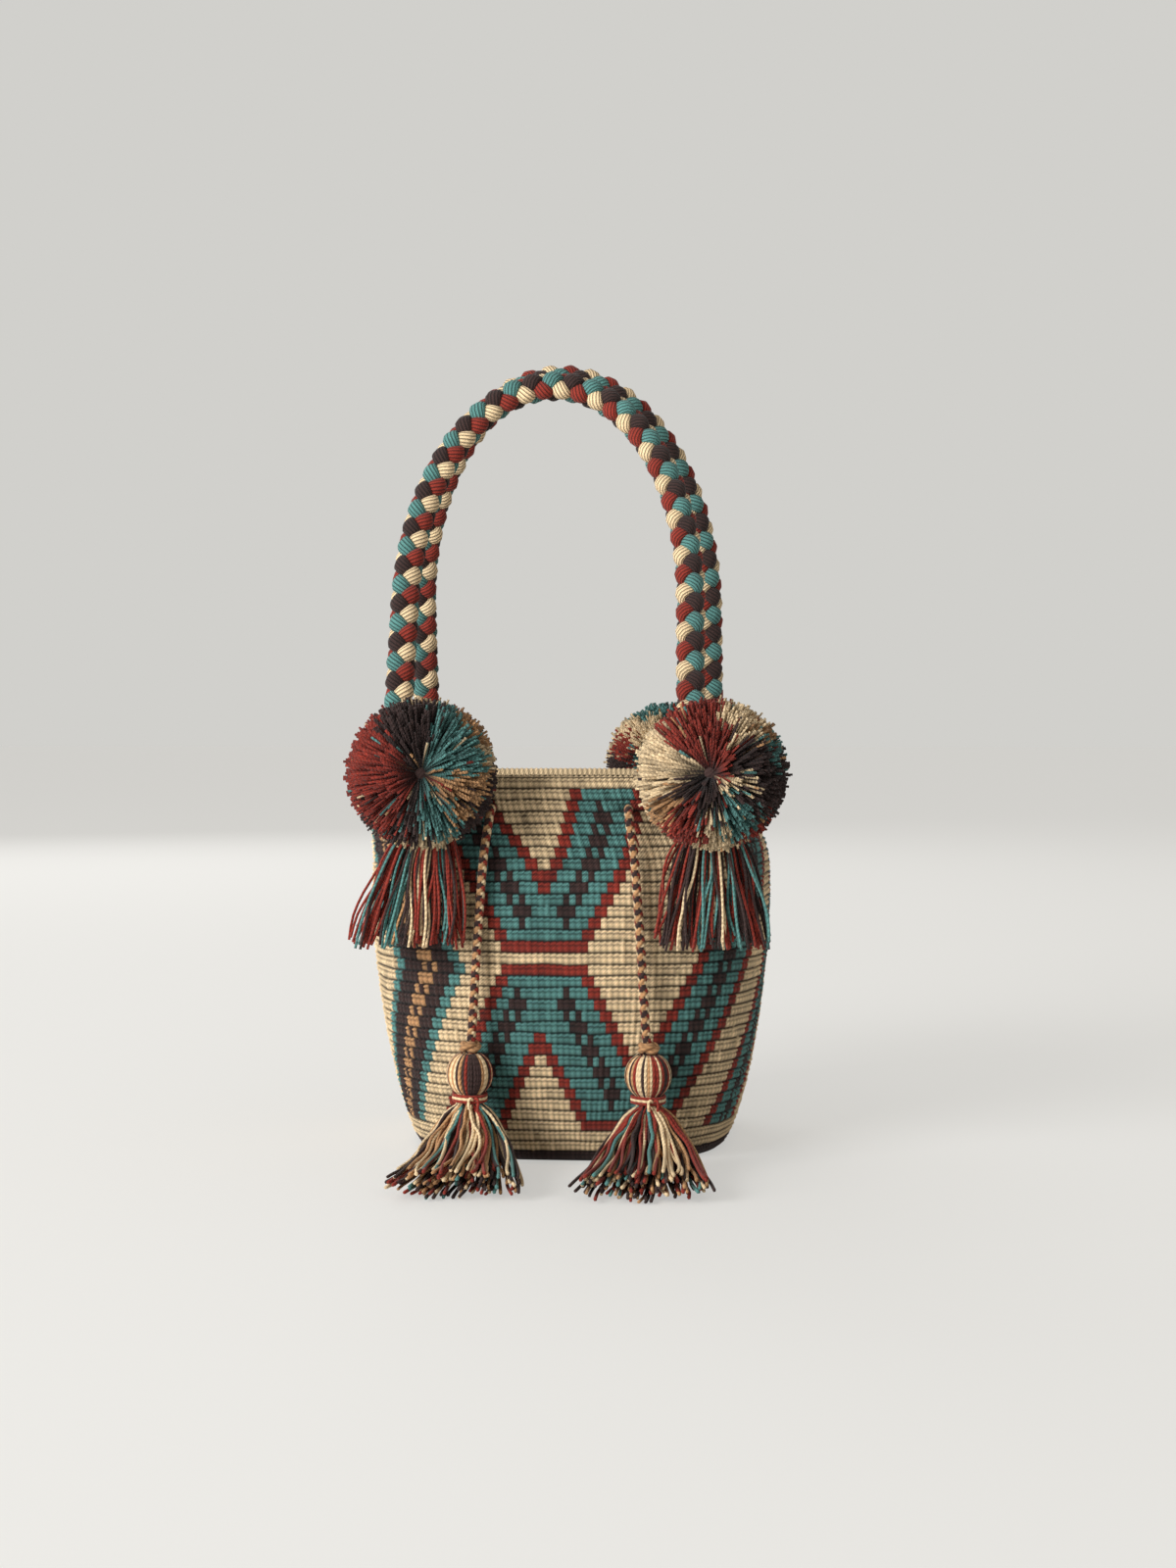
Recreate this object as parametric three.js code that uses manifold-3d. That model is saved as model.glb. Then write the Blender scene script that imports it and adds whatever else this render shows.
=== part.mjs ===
// Crocheted bucket bag with two braided handles, four pompoms and a tasselled drawstring.
// Millimetres, +Z up, front towards -Y, origin at the middle of the flat base.
// Face -1 is the front and 1 the back; side -1 is the viewer's left and 1 the right.
import * as THREE from "three";
import { mergeVertices } from "three/addons/utils/BufferGeometryUtils.js";
import Module from "manifold-3d";

const wasm = await Module();
wasm.setup();

// Crocheted body
const bodyHeight = 200;
const baseRadius = 81;
const bulgeRadius = 107;
const bulgeHeight = 135;
const mouthRadius = 97;
const wall = 4;
const squareness = 3;
const mouthShift = -10;
const mouthShiftStart = 150;
const bodySides = 40;

// Gap between pieces that touch
const seat = 0.3;

// Handles: round braids of four strands, arched from foot to foot
const handleRadius = 8.6;
const beadLength = 10.7;
const beadDepth = 1.9;
const grooveDepth = 1.2;
const hingeAboveMouth = 6;
const legHeight = 88;
const frontAngle = 40.5;
const frontRise = 212.5;
const frontLean = 18.6;
const backAngle = 45;
const backRise = 220;
const backLean = 16;
const handleOutward = 28;
const handleInward = 3;

// Sewn feet below the handles
const footHeight = 24;
const footGap = 0.4;
const footThickness = 15;

// Pompoms, their ties and fringes
const pompomRadius = 38;
const pompomSpan = 72;
const pompomOffset = 15;
const pompomPress = 1.8;
const pompomAboveMouth = 1;
const tieRadius = 1.5;
const tieBelowMouth = 13;
const tieShort = 0.12;
const fringeBelowMouth = 88;
const fringeWidth = 63;
const fringeSpan = 77;
const fringeDepth = 24;
const fringeInset = 11;

// Drawstring, its slits and its two tassels
const cordRadius = 2.3;
const slitBelowMouth = 17;
const slitLength = 16;
const slitWidth = 6;
const slitAngles = [72, 108, 163];
const leftExit = 344.5;
const rightExit = 23;
const headRadius = 12;
const headHeight = 21;
const knotRadius = 4;
const neckRadius = 7;
const neckHeight = 5;
const neckTieRadius = 1.5;
const skirtLength = 108;
const skirtWidth = 74;
const skirtThickness = 16;
const floorGap = 0.2;

const hingeHeight = bodyHeight + hingeAboveMouth;
const pompomHeight = bodyHeight + pompomAboveMouth;
const slitHeight = bodyHeight - slitBelowMouth;

const rad = THREE.MathUtils.degToRad;

function makeMaterial(color, roughness) {
  return new THREE.MeshStandardMaterial({ color, roughness, metalness: 0 });
}

const materials = {
  cotton: makeMaterial(0xd8c39a, 0.9),
  braid: makeMaterial(0x7d2f26, 0.85),
  foot: makeMaterial(0x3a2b29, 0.9),
  pompom: makeMaterial(0x6f2a24, 0.95),
  fringe: makeMaterial(0x8a3a2e, 0.9),
  cord: makeMaterial(0xc9b391, 0.85),
  tassel: makeMaterial(0x9a4a38, 0.85),
  tie: makeMaterial(0xcbb08a, 0.85),
};

// Solids and meshes

function solidOf(geometry) {
  const plain = geometry.clone();
  plain.deleteAttribute("normal");
  plain.deleteAttribute("uv");
  const merged = mergeVertices(plain, 1e-4);
  return new wasm.Manifold(
    new wasm.Mesh({
      numProp: 3,
      vertProperties: merged.attributes.position.array,
      triVerts: new Uint32Array(merged.index.array),
    }),
  );
}

function geometryOf(solid) {
  const mesh = solid.getMesh();
  const geometry = new THREE.BufferGeometry();
  geometry.setAttribute("position", new THREE.BufferAttribute(mesh.vertProperties, 3));
  geometry.setIndex(new THREE.BufferAttribute(mesh.triVerts, 1));
  geometry.computeVertexNormals();
  return geometry;
}

function addMesh(group, name, solid, material) {
  const mesh = new THREE.Mesh(geometryOf(solid), material);
  mesh.name = name;
  group.add(mesh);
  return mesh;
}

// Closed skin over a row of rings that have equally many points, each end closed by a fan
function loft(rings) {
  const count = rings[0].length;
  const middle = (ring) => ring.reduce((sum, p) => sum.add(p), new THREE.Vector3()).divideScalar(count);
  const points = [...rings.flat(), middle(rings[0]), middle(rings.at(-1))];
  const index = [];
  for (let i = 0; i < count; i++) {
    const j = (i + 1) % count;
    for (let k = 0; k + 1 < rings.length; k++) {
      const low = k * count;
      const high = low + count;
      index.push(low + i, low + j, high + j, low + i, high + j, high + i);
    }
    const last = (rings.length - 1) * count;
    index.push(points.length - 2, j, i, points.length - 1, last + i, last + j);
  }
  const geometry = new THREE.BufferGeometry().setFromPoints(points);
  geometry.setIndex(index);
  return solidOf(geometry);
}

// Flat oval ring of points, its half sizes along two directions
function oval(centre, alongA, halfA, alongB, halfB, sides) {
  return Array.from({ length: sides }, (_, i) => {
    const turn = (i / sides) * 2 * Math.PI;
    return centre
      .clone()
      .addScaledVector(alongA, halfA * Math.cos(turn))
      .addScaledVector(alongB, halfB * Math.sin(turn));
  });
}

function tube(curve, radius, sides, steps) {
  const section = new THREE.Shape(
    Array.from({ length: sides }, (_, i) => {
      const turn = (i / sides) * 2 * Math.PI;
      return new THREE.Vector2(radius * Math.cos(turn), radius * Math.sin(turn));
    }),
  );
  return solidOf(
    new THREE.ExtrudeGeometry(section, { extrudePath: curve, steps, bevelEnabled: false }),
  );
}

function ball(centre, radius, sides) {
  return solidOf(
    new THREE.SphereGeometry(radius, sides, sides / 2).translate(centre.x, centre.y, centre.z),
  );
}

function capsule(from, to, radius, sides) {
  return tube(new THREE.LineCurve3(from, to), radius, sides, 1)
    .add(ball(from, radius, sides))
    .add(ball(to, radius, sides));
}

function revolve(profile, sides) {
  const points = profile.map(([radius, z]) => new THREE.Vector2(radius, z));
  return new THREE.LatheGeometry(points, sides).rotateX(Math.PI / 2);
}

// The body's outer form

function outerRadius(z) {
  if (z > bulgeHeight) {
    const climb = (z - bulgeHeight) / (bodyHeight - bulgeHeight);
    return bulgeRadius - (bulgeRadius - mouthRadius) * climb * climb;
  }
  const swell = Math.sin((Math.PI / 2) * (Math.max(z, 0) / bulgeHeight));
  return baseRadius + (bulgeRadius - baseRadius) * swell ** (2 / 3);
}

function lean(z) {
  const reach = (z - mouthShiftStart) / (bodyHeight - mouthShiftStart);
  return mouthShift * THREE.MathUtils.smoothstep(reach, 0, 1);
}

function squared(turn) {
  const sum = Math.abs(Math.cos(turn)) ** squareness + Math.abs(Math.sin(turn)) ** squareness;
  return sum ** (-1 / squareness);
}

// Turns a round revolved form into the soft square one, leaning towards the mouth
function squareUp(geometry) {
  const position = geometry.attributes.position;
  for (let i = 0; i < position.count; i++) {
    const [x, y, z] = [position.getX(i), position.getY(i), position.getZ(i)];
    const grow = squared(Math.atan2(y, x));
    position.setXYZ(i, x * grow + lean(z), y * grow, z);
  }
  return solidOf(geometry);
}

// A place on the body: angle from the front's middle, towards +X, and its outward direction
function wallPlace(angle, z, out = 0) {
  const turn = rad(angle) - Math.PI / 2;
  const reach = outerRadius(z) * squared(turn);
  const point = new THREE.Vector3(reach * Math.cos(turn), reach * Math.sin(turn), z);
  const normal = new THREE.Vector3(
    Math.sign(point.x) * Math.abs(point.x) ** (squareness - 1),
    Math.sign(point.y) * Math.abs(point.y) ** (squareness - 1),
    0,
  ).normalize();
  point.x += lean(z);
  return { point: point.addScaledVector(normal, out), normal };
}

const ringHeights = [1.5, 5, 12, 26, 46, 72, 104, 135, 160, 186];

function outerProfile(grow) {
  const rings = ringHeights.map((share) => (share / 200) * bodyHeight);
  return [
    [0, -grow],
    [outerRadius(0) - 1 + grow, -grow],
    ...rings.map((z) => [outerRadius(z) + grow, z]),
  ];
}

function makeBody() {
  const lip = wall / 2;
  const inner = ringHeights
    .map((share) => (share / 200) * bodyHeight)
    .filter((z) => z > wall * 2)
    .reverse()
    .map((z) => [outerRadius(z) - wall, z]);
  const profile = [
    ...outerProfile(0),
    [mouthRadius, bodyHeight - lip],
    [mouthRadius - lip * 0.3, bodyHeight - lip * 0.3],
    [mouthRadius - lip, bodyHeight],
    [mouthRadius - lip * 1.7, bodyHeight - lip * 0.3],
    [mouthRadius - wall, bodyHeight - lip],
    ...inner,
    [outerRadius(wall) - wall - 2, wall],
    [0, wall],
  ];
  return slits.reduce(
    (body, angle) => body.subtract(slitCutter(angle)),
    squareUp(revolve(profile, bodySides)),
  );
}

// The body's outside grown by a gap, for pressing soft pieces against it
function makeWallForm(grow) {
  const top = bodyHeight + grow;
  return squareUp(revolve([...outerProfile(grow), [mouthRadius + grow, top], [0, top]], bodySides));
}

// Slits of the drawstring

const slits = [
  rightExit,
  ...slitAngles,
  ...slitAngles.map((angle) => 360 - angle).reverse(),
  leftExit,
];

function slitCutter(angle) {
  const { point, normal } = wallPlace(angle, slitHeight);
  const cutter = new THREE.BoxGeometry(wall * 5, slitLength, slitWidth);
  cutter.rotateZ(Math.atan2(normal.y, normal.x)).translate(point.x, point.y, point.z);
  return solidOf(cutter);
}

// Handles

function handleOf(face) {
  const [angle, rise, lean] =
    face < 0 ? [frontAngle, frontRise, frontLean] : [backAngle, backRise, backLean];
  const { point } = wallPlace(angle, bodyHeight, handleRadius + seat);
  return { angle, rise, lean, footX: point.x - mouthShift, footY: Math.abs(point.y) };
}

// The place of a foot round the wall, from the front's middle
function footAngle(face, side) {
  return side * (face < 0 ? handleOf(face).angle : 180 - handleOf(face).angle);
}

function hingePoint(face, side) {
  const { footX, footY } = handleOf(face);
  return new THREE.Vector3(mouthShift + side * footX, face * footY, hingeHeight);
}

// The arch in its own upright plane: straight legs, then half an ellipse
function archCurve({ footX, rise }) {
  const half = footX - 1;
  const crown = rise - legHeight;
  const turns = 12;
  const legs = [0, 0.33, 0.67].map((share) => [footX - share, legHeight * share]);
  const points = legs.map(([x, z]) => [-x, z]);
  for (let i = 0; i <= turns; i++) {
    const turn = (i / turns) * Math.PI;
    points.push([-half * Math.cos(turn), legHeight + crown * Math.sin(turn)]);
  }
  points.push(...legs.reverse());
  return new THREE.CatmullRomCurve3(points.map(([x, z]) => new THREE.Vector3(x, 0, z)));
}

// One ring of the braid. Its odd points ride on the four columns of beads, where the strands
// cross over; two columns stand high where the two between them dip. Its even points lie in
// the grooves between the columns.
function braidRing(centre, along, beads) {
  const outward = new THREE.Vector3(-along.z, 0, along.x);
  const forward = new THREE.Vector3(0, -1, 0);
  return Array.from({ length: 8 }, (_, i) => {
    const turn = (i / 8) * 2 * Math.PI;
    const phase = i % 4 === 1 ? beads : beads + 0.5;
    const swell = Math.abs(Math.cos(phase * Math.PI)) ** 0.6;
    const radius = handleRadius - (i % 2 ? beadDepth * (1 - swell) : grooveDepth);
    return centre
      .clone()
      .addScaledVector(outward, radius * Math.cos(turn))
      .addScaledVector(forward, radius * Math.sin(turn));
  });
}

function makeHandle(face) {
  const curve = archCurve(handleOf(face));
  const beads = Math.round(curve.getLength() / beadLength);
  const steps = beads * 4;
  const rings = Array.from({ length: steps + 1 }, (_, i) =>
    braidRing(curve.getPointAt(i / steps), curve.getTangentAt(i / steps), i / 4),
  );
  return loft(rings)
    .add(ball(curve.getPoint(0), handleRadius, 12))
    .add(ball(curve.getPoint(1), handleRadius, 12));
}

// The room that one leg sweeps between its limits, with a running gap
function legSweep(face, side) {
  const foot = hingePoint(face, side);
  const reach = 70;
  const steps = 6;
  const first = handleOf(face).lean + handleInward;
  const sweep = Array.from({ length: steps + 1 }, (_, i) => {
    const tilt = rad(first - ((handleOutward + handleInward) * i) / steps);
    const tip = foot.clone();
    tip.y -= face * reach * Math.sin(tilt);
    tip.z += reach * Math.cos(tilt);
    return capsule(foot, tip, handleRadius + seat * 5, 12);
  });
  return sweep.reduce((all, piece) => all.add(piece));
}

// A foot: the braid's end flattened down the wall, cupped for the handle's rounded end
function makeFoot(face, side, grow) {
  const low = bodyHeight - footHeight - hingeAboveMouth;
  const top = hingeHeight - handleRadius + 3;
  const shapes = [
    { share: 0, thick: 2, wide: 5 },
    { share: 0.2, thick: 3.6, wide: 8 },
    { share: 0.55, thick: 6.2, wide: 9.3 },
    { share: 1, thick: footThickness / 2, wide: handleRadius },
  ];
  const rings = shapes.map(({ share, thick, wide }) => {
    const z = low + (top - low) * share;
    const { point, normal } = wallPlace(footAngle(face, side), z, thick + footGap);
    const across = new THREE.Vector3(-normal.y, normal.x, 0);
    point.z += grow * (share * 2 - 1);
    return oval(point, normal, thick + grow, across, wide + grow, 12);
  });
  return loft(rings);
}

// Pompoms, ties and fringes

function pompomCentre(face, side) {
  const x = mouthShift + side * pompomSpan - face * pompomOffset;
  const forward = handleOf(face).footY + pompomRadius - pompomPress;
  return new THREE.Vector3(x, face * forward, pompomHeight);
}

function makeTie(face, side, grow) {
  const height = bodyHeight - tieBelowMouth;
  const start = wallPlace(footAngle(face, side), height, footThickness / 2).point;
  const end = pompomCentre(face, side).lerp(start, tieShort - grow * 0.02);
  return tube(new THREE.LineCurve3(start, end), tieRadius + grow, 8, 1);
}

function makeFringe(face, side) {
  const middle = side * fringeSpan + (1 + face) * mouthShift;
  const pompom = pompomCentre(face, side);
  const x = new THREE.Vector3(1, 0, 0);
  const y = new THREE.Vector3(0, 1, 0);
  const low = bodyHeight - fringeBelowMouth;
  const top = pompomHeight - pompomRadius + 8;
  const rings = [0, 0.45, 0.85, 1].map((share) => {
    const narrow = 1 - 0.5 * share ** 1.3;
    const point = new THREE.Vector3(
      middle + (pompom.x - middle) * share,
      pompom.y - face * fringeInset,
      low + (top - low) * share,
    );
    return oval(point, x, (fringeWidth / 2) * narrow, y, (fringeDepth / 2) * (1 - 0.25 * share), 12);
  });
  return loft(rings);
}

// Drawstring and tassels

// The held run: in from the right front slit, round the back and out at the left front slit
function heldCurve() {
  const inside = -(wall + cordRadius + seat * 5);
  const outside = cordRadius + seat * 5;
  const clear = THREE.MathUtils.radToDeg((slitLength / 2 - seat) / outerRadius(slitHeight));
  const spacing = 9;
  const stops = [[rightExit, -wall]];
  for (let i = 0; i + 1 < slits.length; i++) {
    const [from, to] = [slits[i] + clear, slits[i + 1] - clear];
    const count = Math.round((to - from) / spacing);
    const out = i % 2 ? outside : inside;
    for (let k = 0; k <= count; k++) stops.push([from + ((to - from) * k) / count, out]);
    stops.push([slits[i + 1], -wall / 2]);
  }
  stops[stops.length - 1] = [leftExit, -wall];
  return new THREE.CatmullRomCurve3(
    stops.map(([angle, out]) => wallPlace(angle, slitHeight, out).point),
  );
}

// The route of one free end, right side, in millimetres: out of the slit, over the bulge, down
const freeRoute = [
  [34.6, -100.2, 183],
  [34.8, -104.6, 182.4],
  [35.2, -107.9, 179.3],
  [36.0, -109.4, 173],
  [37.4, -110.0, 164],
  [38.3, -110.5, 155],
  [39.1, -110.8, 145],
  [39.9, -110.9, 134],
  [40.7, -111.0, 122],
  [41.5, -111.0, 110],
  [42.2, -111.0, 98],
  [42.9, -111.0, 86],
  [43.6, -111.0, 75],
  [44.4, -111.0, 65],
  [44.9, -111.0, 55],
  [45.0, -111.0, 45.5],
];
const heldSteps = 68;
const endSteps = 24;
const tasselX = 45;
const tasselY = -111;
const headTop = 60;

function freeCurve(side) {
  return new THREE.CatmullRomCurve3(freeRoute.map(([x, y, z]) => new THREE.Vector3(side * x, y, z)));
}

function makeHead() {
  const bore = cordRadius + seat * 2;
  const low = headTop - headHeight;
  const steps = 6;
  const outline = [];
  for (let i = 0; i <= steps; i++) {
    const turn = (i / steps) * Math.PI;
    const swell = Math.sin(turn) ** 0.75;
    const base = neckRadius + (bore + 1.2 - neckRadius) * (i / steps);
    outline.push([base + (headRadius - base) * swell, low + (headHeight * i) / steps]);
  }
  return solidOf(revolve([[bore, low], ...outline, [bore, headTop], [bore, low]], 14));
}

function makeKnot() {
  const bore = cordRadius + seat * 2;
  const fat = (knotRadius * 2 - bore) / 2;
  const middle = headTop + seat + fat;
  const steps = 6;
  const outline = Array.from({ length: steps + 1 }, (_, i) => {
    const turn = (i / steps) * 2 * Math.PI;
    return [bore + fat + fat * Math.cos(turn), middle + fat * Math.sin(turn)];
  });
  outline[steps] = outline[0];
  return solidOf(revolve(outline, 12));
}

function makeNeckTie() {
  const middle = headTop - headHeight - neckTieRadius - seat;
  const ring = new THREE.TorusGeometry(neckRadius + seat + neckTieRadius, neckTieRadius, 5, 14);
  return solidOf(ring.translate(0, 0, middle));
}

// The skirt: down from the neck, then fanned out forward over the floor
function makeSkirt() {
  const neckTop = headTop - headHeight - seat;
  const neckLow = neckTop - neckHeight;
  const lying = skirtLength - neckTop + 10;
  const x = new THREE.Vector3(1, 0, 0);
  const half = skirtThickness / 2;
  const stations = [
    { y: 0, z: neckTop, tilt: 0, wide: neckRadius, thick: neckRadius },
    { y: 0, z: neckLow, tilt: 0, wide: neckRadius, thick: neckRadius },
    { y: -1, z: neckLow - 4, tilt: 10, wide: 13, thick: 10 },
    { y: -5, z: neckLow - 12, tilt: 24, wide: 19, thick: 12.5 },
    { y: -17, z: 14.2, tilt: 58, wide: 25, thick: 11.5 },
    { y: -32, z: 9.6, tilt: 84, wide: 29, thick: half + 1.2 },
    { y: -lying * 0.72, z: half + floorGap, tilt: 90, wide: skirtWidth * 0.46, thick: half },
    { y: -lying, z: half + floorGap, tilt: 90, wide: skirtWidth / 2, thick: half },
  ];
  const rings = stations.map(({ y, z, tilt, wide, thick }) => {
    const across = new THREE.Vector3(0, Math.cos(rad(tilt)), -Math.sin(rad(tilt))).negate();
    return oval(new THREE.Vector3(0, y, z), x, wide, across, thick, 14).map((p) => {
      p.z = Math.max(p.z, floorGap);
      return p;
    });
  });
  const skirt = loft(rings);
  const room = solidOf(new THREE.BoxGeometry(400, 400, 200).translate(0, 0, 100 + floorGap));
  return skirt.intersect(room);
}

// Assembly

const bag = new THREE.Group();
addMesh(bag, "bag_body", makeBody(), materials.cotton);

const wallForm = makeWallForm(seat);
const sides = [
  ["left", -1],
  ["right", 1],
];
const cordRoom = [freeCurve(-1), freeCurve(1)].reduce(
  (room, curve) => room.add(tube(curve, cordRadius + seat * 3, 8, endSteps)),
  tube(heldCurve(), cordRadius + seat * 3, 8, heldSteps),
);

for (const [end, face] of [
  ["front", -1],
  ["back", 1],
]) {
  const { footY, lean: tilt } = handleOf(face);
  const hinge = new THREE.Group();
  hinge.position.set(mouthShift, face * footY, hingeHeight);
  hinge.rotation.x = face * rad(tilt);
  bag.add(hinge);
  addMesh(hinge, end + "_handle", makeHandle(face), materials.braid);
  for (const [hand, side] of sides) {
    const name = end + "_" + hand;
    const socket = ball(hingePoint(face, side), handleRadius + seat * 3, 16);
    const footRoom = wallForm.add(makeFoot(face, side, seat));
    const foot = makeFoot(face, side, 0).subtract(socket).subtract(wallForm);
    addMesh(bag, name + "_foot", foot, materials.foot);
    const centre = pompomCentre(face, side);
    const room = footRoom.add(legSweep(face, side)).add(cordRoom);
    const pompom = ball(centre, pompomRadius, 16).subtract(room).subtract(makeTie(face, side, seat));
    addMesh(bag, name + "_pompom", pompom, materials.pompom);
    addMesh(bag, name + "_pompom_tie", makeTie(face, side, 0).subtract(footRoom), materials.tie);
    const fringe = makeFringe(face, side).subtract(ball(centre, pompomRadius + seat, 16));
    addMesh(bag, name + "_fringe", fringe.subtract(room), materials.fringe);
  }
}

addMesh(bag, "drawstring_loop", tube(heldCurve(), cordRadius, 8, heldSteps), materials.cord);

for (const [hand, side] of sides) {
  addMesh(bag, "drawstring_" + hand + "_end", tube(freeCurve(side), cordRadius, 8, endSteps), materials.cord);
  const tassel = new THREE.Group();
  tassel.position.set(side * tasselX, tasselY, 0);
  bag.add(tassel);
  addMesh(tassel, hand + "_tassel_knot", makeKnot(), materials.tie);
  addMesh(tassel, hand + "_tassel_head", makeHead(), materials.tassel);
  addMesh(tassel, hand + "_tassel_neck_tie", makeNeckTie(), materials.tie);
  addMesh(tassel, hand + "_tassel_skirt", makeSkirt(), materials.tassel);
}

export default bag;
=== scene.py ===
# Crocheted bucket bag with braided handles, yarn pompoms and a tasselled drawstring.
import math

import bpy
import numpy as np
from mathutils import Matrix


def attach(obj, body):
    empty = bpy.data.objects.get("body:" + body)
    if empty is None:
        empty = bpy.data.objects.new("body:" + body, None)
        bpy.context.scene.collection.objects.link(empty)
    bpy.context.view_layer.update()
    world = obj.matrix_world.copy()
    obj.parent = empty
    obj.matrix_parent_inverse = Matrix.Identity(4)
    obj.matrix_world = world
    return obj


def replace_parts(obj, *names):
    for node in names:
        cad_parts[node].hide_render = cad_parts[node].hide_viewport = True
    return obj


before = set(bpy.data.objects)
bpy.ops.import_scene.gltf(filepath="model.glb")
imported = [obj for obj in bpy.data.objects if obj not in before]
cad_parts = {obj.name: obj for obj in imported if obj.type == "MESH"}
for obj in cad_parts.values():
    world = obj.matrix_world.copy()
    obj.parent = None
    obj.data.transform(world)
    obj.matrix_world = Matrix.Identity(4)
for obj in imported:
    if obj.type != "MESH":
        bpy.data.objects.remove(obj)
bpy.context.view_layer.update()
rng = np.random.default_rng(11)

# Lengths below are millimetres; the meshes are written in metres.
MM = 0.001

# The yarn colours, as sRGB
CREAM, RED, TEAL, BROWN, TAN = range(5)
YARN_HEX = ["#ecd0a5", "#8d3023", "#578984", "#3a2825", "#bf9063"]
YARN_NAMES = ["cream", "brick_red", "teal", "dark_brown", "tan"]
# The size of the yarn's loose fibre tufts and of the patches where the dye took more or less
FIBRE_SIZE, DYE_SIZE = 1.1, 14

# The body's form, as the CAD has it
BODY_HEIGHT, BASE_RADIUS, BULGE_RADIUS, BULGE_HEIGHT = 200, 81, 107, 135
MOUTH_RADIUS, MOUTH_SHIFT, MOUTH_SHIFT_START = 97, -10, 150
SQUARENESS = 3
# How much longer a squared round is than a circle of the same half width
SQUARE_GIRTH = 1.066

# The stitches
ROWS = 34
STITCHES = 226
MOTIF_X = -7.7
OUTER_RELIEF, OUTER_SINK = 1.45, 0.5
INNER_RELIEF, INNER_SINK = 0.9, 3.4
DIMPLE_DEPTH, DIMPLE_REACH, DIMPLE_RISE = 2.6, 5.0, 2.6
# Where the wall turns under at the base and into the rim, and its half width at the slits
BASE_TURN, RIM_TURN, SLIT_RADIUS = 0.9, 1.2, 105
WAVER_KNOTS, BASE_ROUNDS = 57, 13

# The handles; face -1 is the front and 1 the back
HINGE_HEIGHT, HANDLE_RADIUS, LEG_HEIGHT = 206, 8.6, 88
HANDLE_ANGLE, HANDLE_RISE, HANDLE_LEAN = {-1: 40.5, 1: 45}, {-1: 212.5, 1: 220}, {-1: 18.6, 1: 16}
HANDLE_OUTWARD, HANDLE_INWARD = 28, 3
BEAD_LENGTH, SEAT_GAP, HANDLE_STEPS = 10.7, 0.3, 400
# How far a strand of the braid runs from its middle line, how far it weaves in and out, and its
# half width and half thickness
STRAND_REACH, STRAND_WEAVE, STRAND_WIDE, STRAND_THICK = 3.7, 2.1, 4.6, 2.9
# A foot, by height on the wall: how thick it is and how far apart its strands lie
FOOT_HEIGHTS = np.array([172, 180, 190, 198, 203.0])
FOOT_THICK = np.array([2.2, 3.4, 5.2, 6.6, 6.4])
FOOT_SPREAD = np.array([1.7, 2.5, 3.2, 3.4, 3.2])
FOOT_YARNS = [BROWN, RED, TEAL, CREAM, BROWN]
# The thread bound round it: how many turns, the highest one, the step down to the next, and half
# a turn's width and depth
BINDING_TURNS, BINDING_TOP, BINDING_STEP, BINDING_WIDE, BINDING_DEEP = 5, 196, 2.1, 8.8, 5.6

# Pompoms and fringes
POMPOM_RADIUS, POMPOM_SPAN, POMPOM_OFFSET = 38, 72, 15
POMPOM_PRESS, POMPOM_HEIGHT = 1.8, 201
POMPOM_THREADS, POMPOM_PARTING, POMPOM_CORE = 4300, 38, 5
FRINGE_BOTTOM, FRINGE_WIDTH, FRINGE_SPAN, FRINGE_DEPTH, FRINGE_INSET = 112, 63, 77, 24, 11
FRINGE_THREADS, FRINGE_YARN = 115, 0.68
# How many threads are of any yarn instead of their field's or group's, as a share
POMPOM_STRAYS, FRINGE_STRAYS = 0.06, 0.25
# The room kept round the swinging leg of a handle, and beside the wall and the drawstring
LEG_ROOM, THREAD_ROOM = 2.5, 1.0

# Drawstring and tassels
CORD_RADIUS, SLIT_HEIGHT, WALL = 2.3, 183, 4
CORD_STEP, CORD_SIDES, CORD_PITCH = 0.75, 16, 6.4
SLITS = [23, 72, 108, 163, 197, 252, 288, 344.5]
# How far from a slit the held run has reached its full way in or out, in degrees like the slits
SLIT_ROOM = 4.35
TASSEL_X, TASSEL_Y, HEAD_TOP, HEAD_HEIGHT, HEAD_RADIUS = 45, -111, 60, 21, 12
NECK_RADIUS = 7
HEAD_THREADS, SKIRT_THREADS = 46, 175
KNOT_HEIGHT, KNOT_REACH, KNOT_YARN = 63.2, 3.3, 1.7
# The thread tied round the neck: each turn's yarn and height, and the half width of the turns and
# of the thread
NECK_TURNS, TIE_RADIUS, TIE_YARN = [(RED, 36.3), (CREAM, 37.6), (RED, 38.9)], 8.2, 0.85
# The route of one free end, right side: out of the slit, over the bulge, down
FREE_ROUTE = [
    (34.6, -100.2, 183), (34.8, -104.6, 182.4), (35.2, -107.9, 179.3), (36.0, -109.4, 173),
    (37.4, -110.0, 164), (38.3, -110.5, 155), (39.1, -110.8, 145), (39.9, -110.9, 134),
    (40.7, -111.0, 122), (41.5, -111.0, 110), (42.2, -111.0, 98), (42.9, -111.0, 86),
    (43.6, -111.0, 75), (44.4, -111.0, 65), (44.9, -111.0, 55), (45.0, -111.0, 45.5),
]
# The skirt's middle line: y and z from the tassel's axis, its tilt, and its half width and depth
SKIRT_STATIONS = [
    (0, 38.7, 0, 7, 7), (0, 33.7, 0, 7, 7), (-1, 29.7, 10, 13, 10), (-5, 21.7, 24, 19, 12.5),
    (-17, 14.2, 58, 25, 11.5), (-32, 9.6, 84, 29, 9.2), (-57, 8.2, 90, 34, 8),
    (-79, 8.2, 90, 37, 8),
]
# How likely each yarn is, in the order of YARN_NAMES
HEAD_WEIGHTS, SKIRT_WEIGHTS = [4, 3.5, 1.2, 4, 2.5], [2.8, 4, 1.6, 4.2, 3]
FRINGE_WEIGHTS = [1, 4, 1.5, 4, 0.7]
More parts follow.
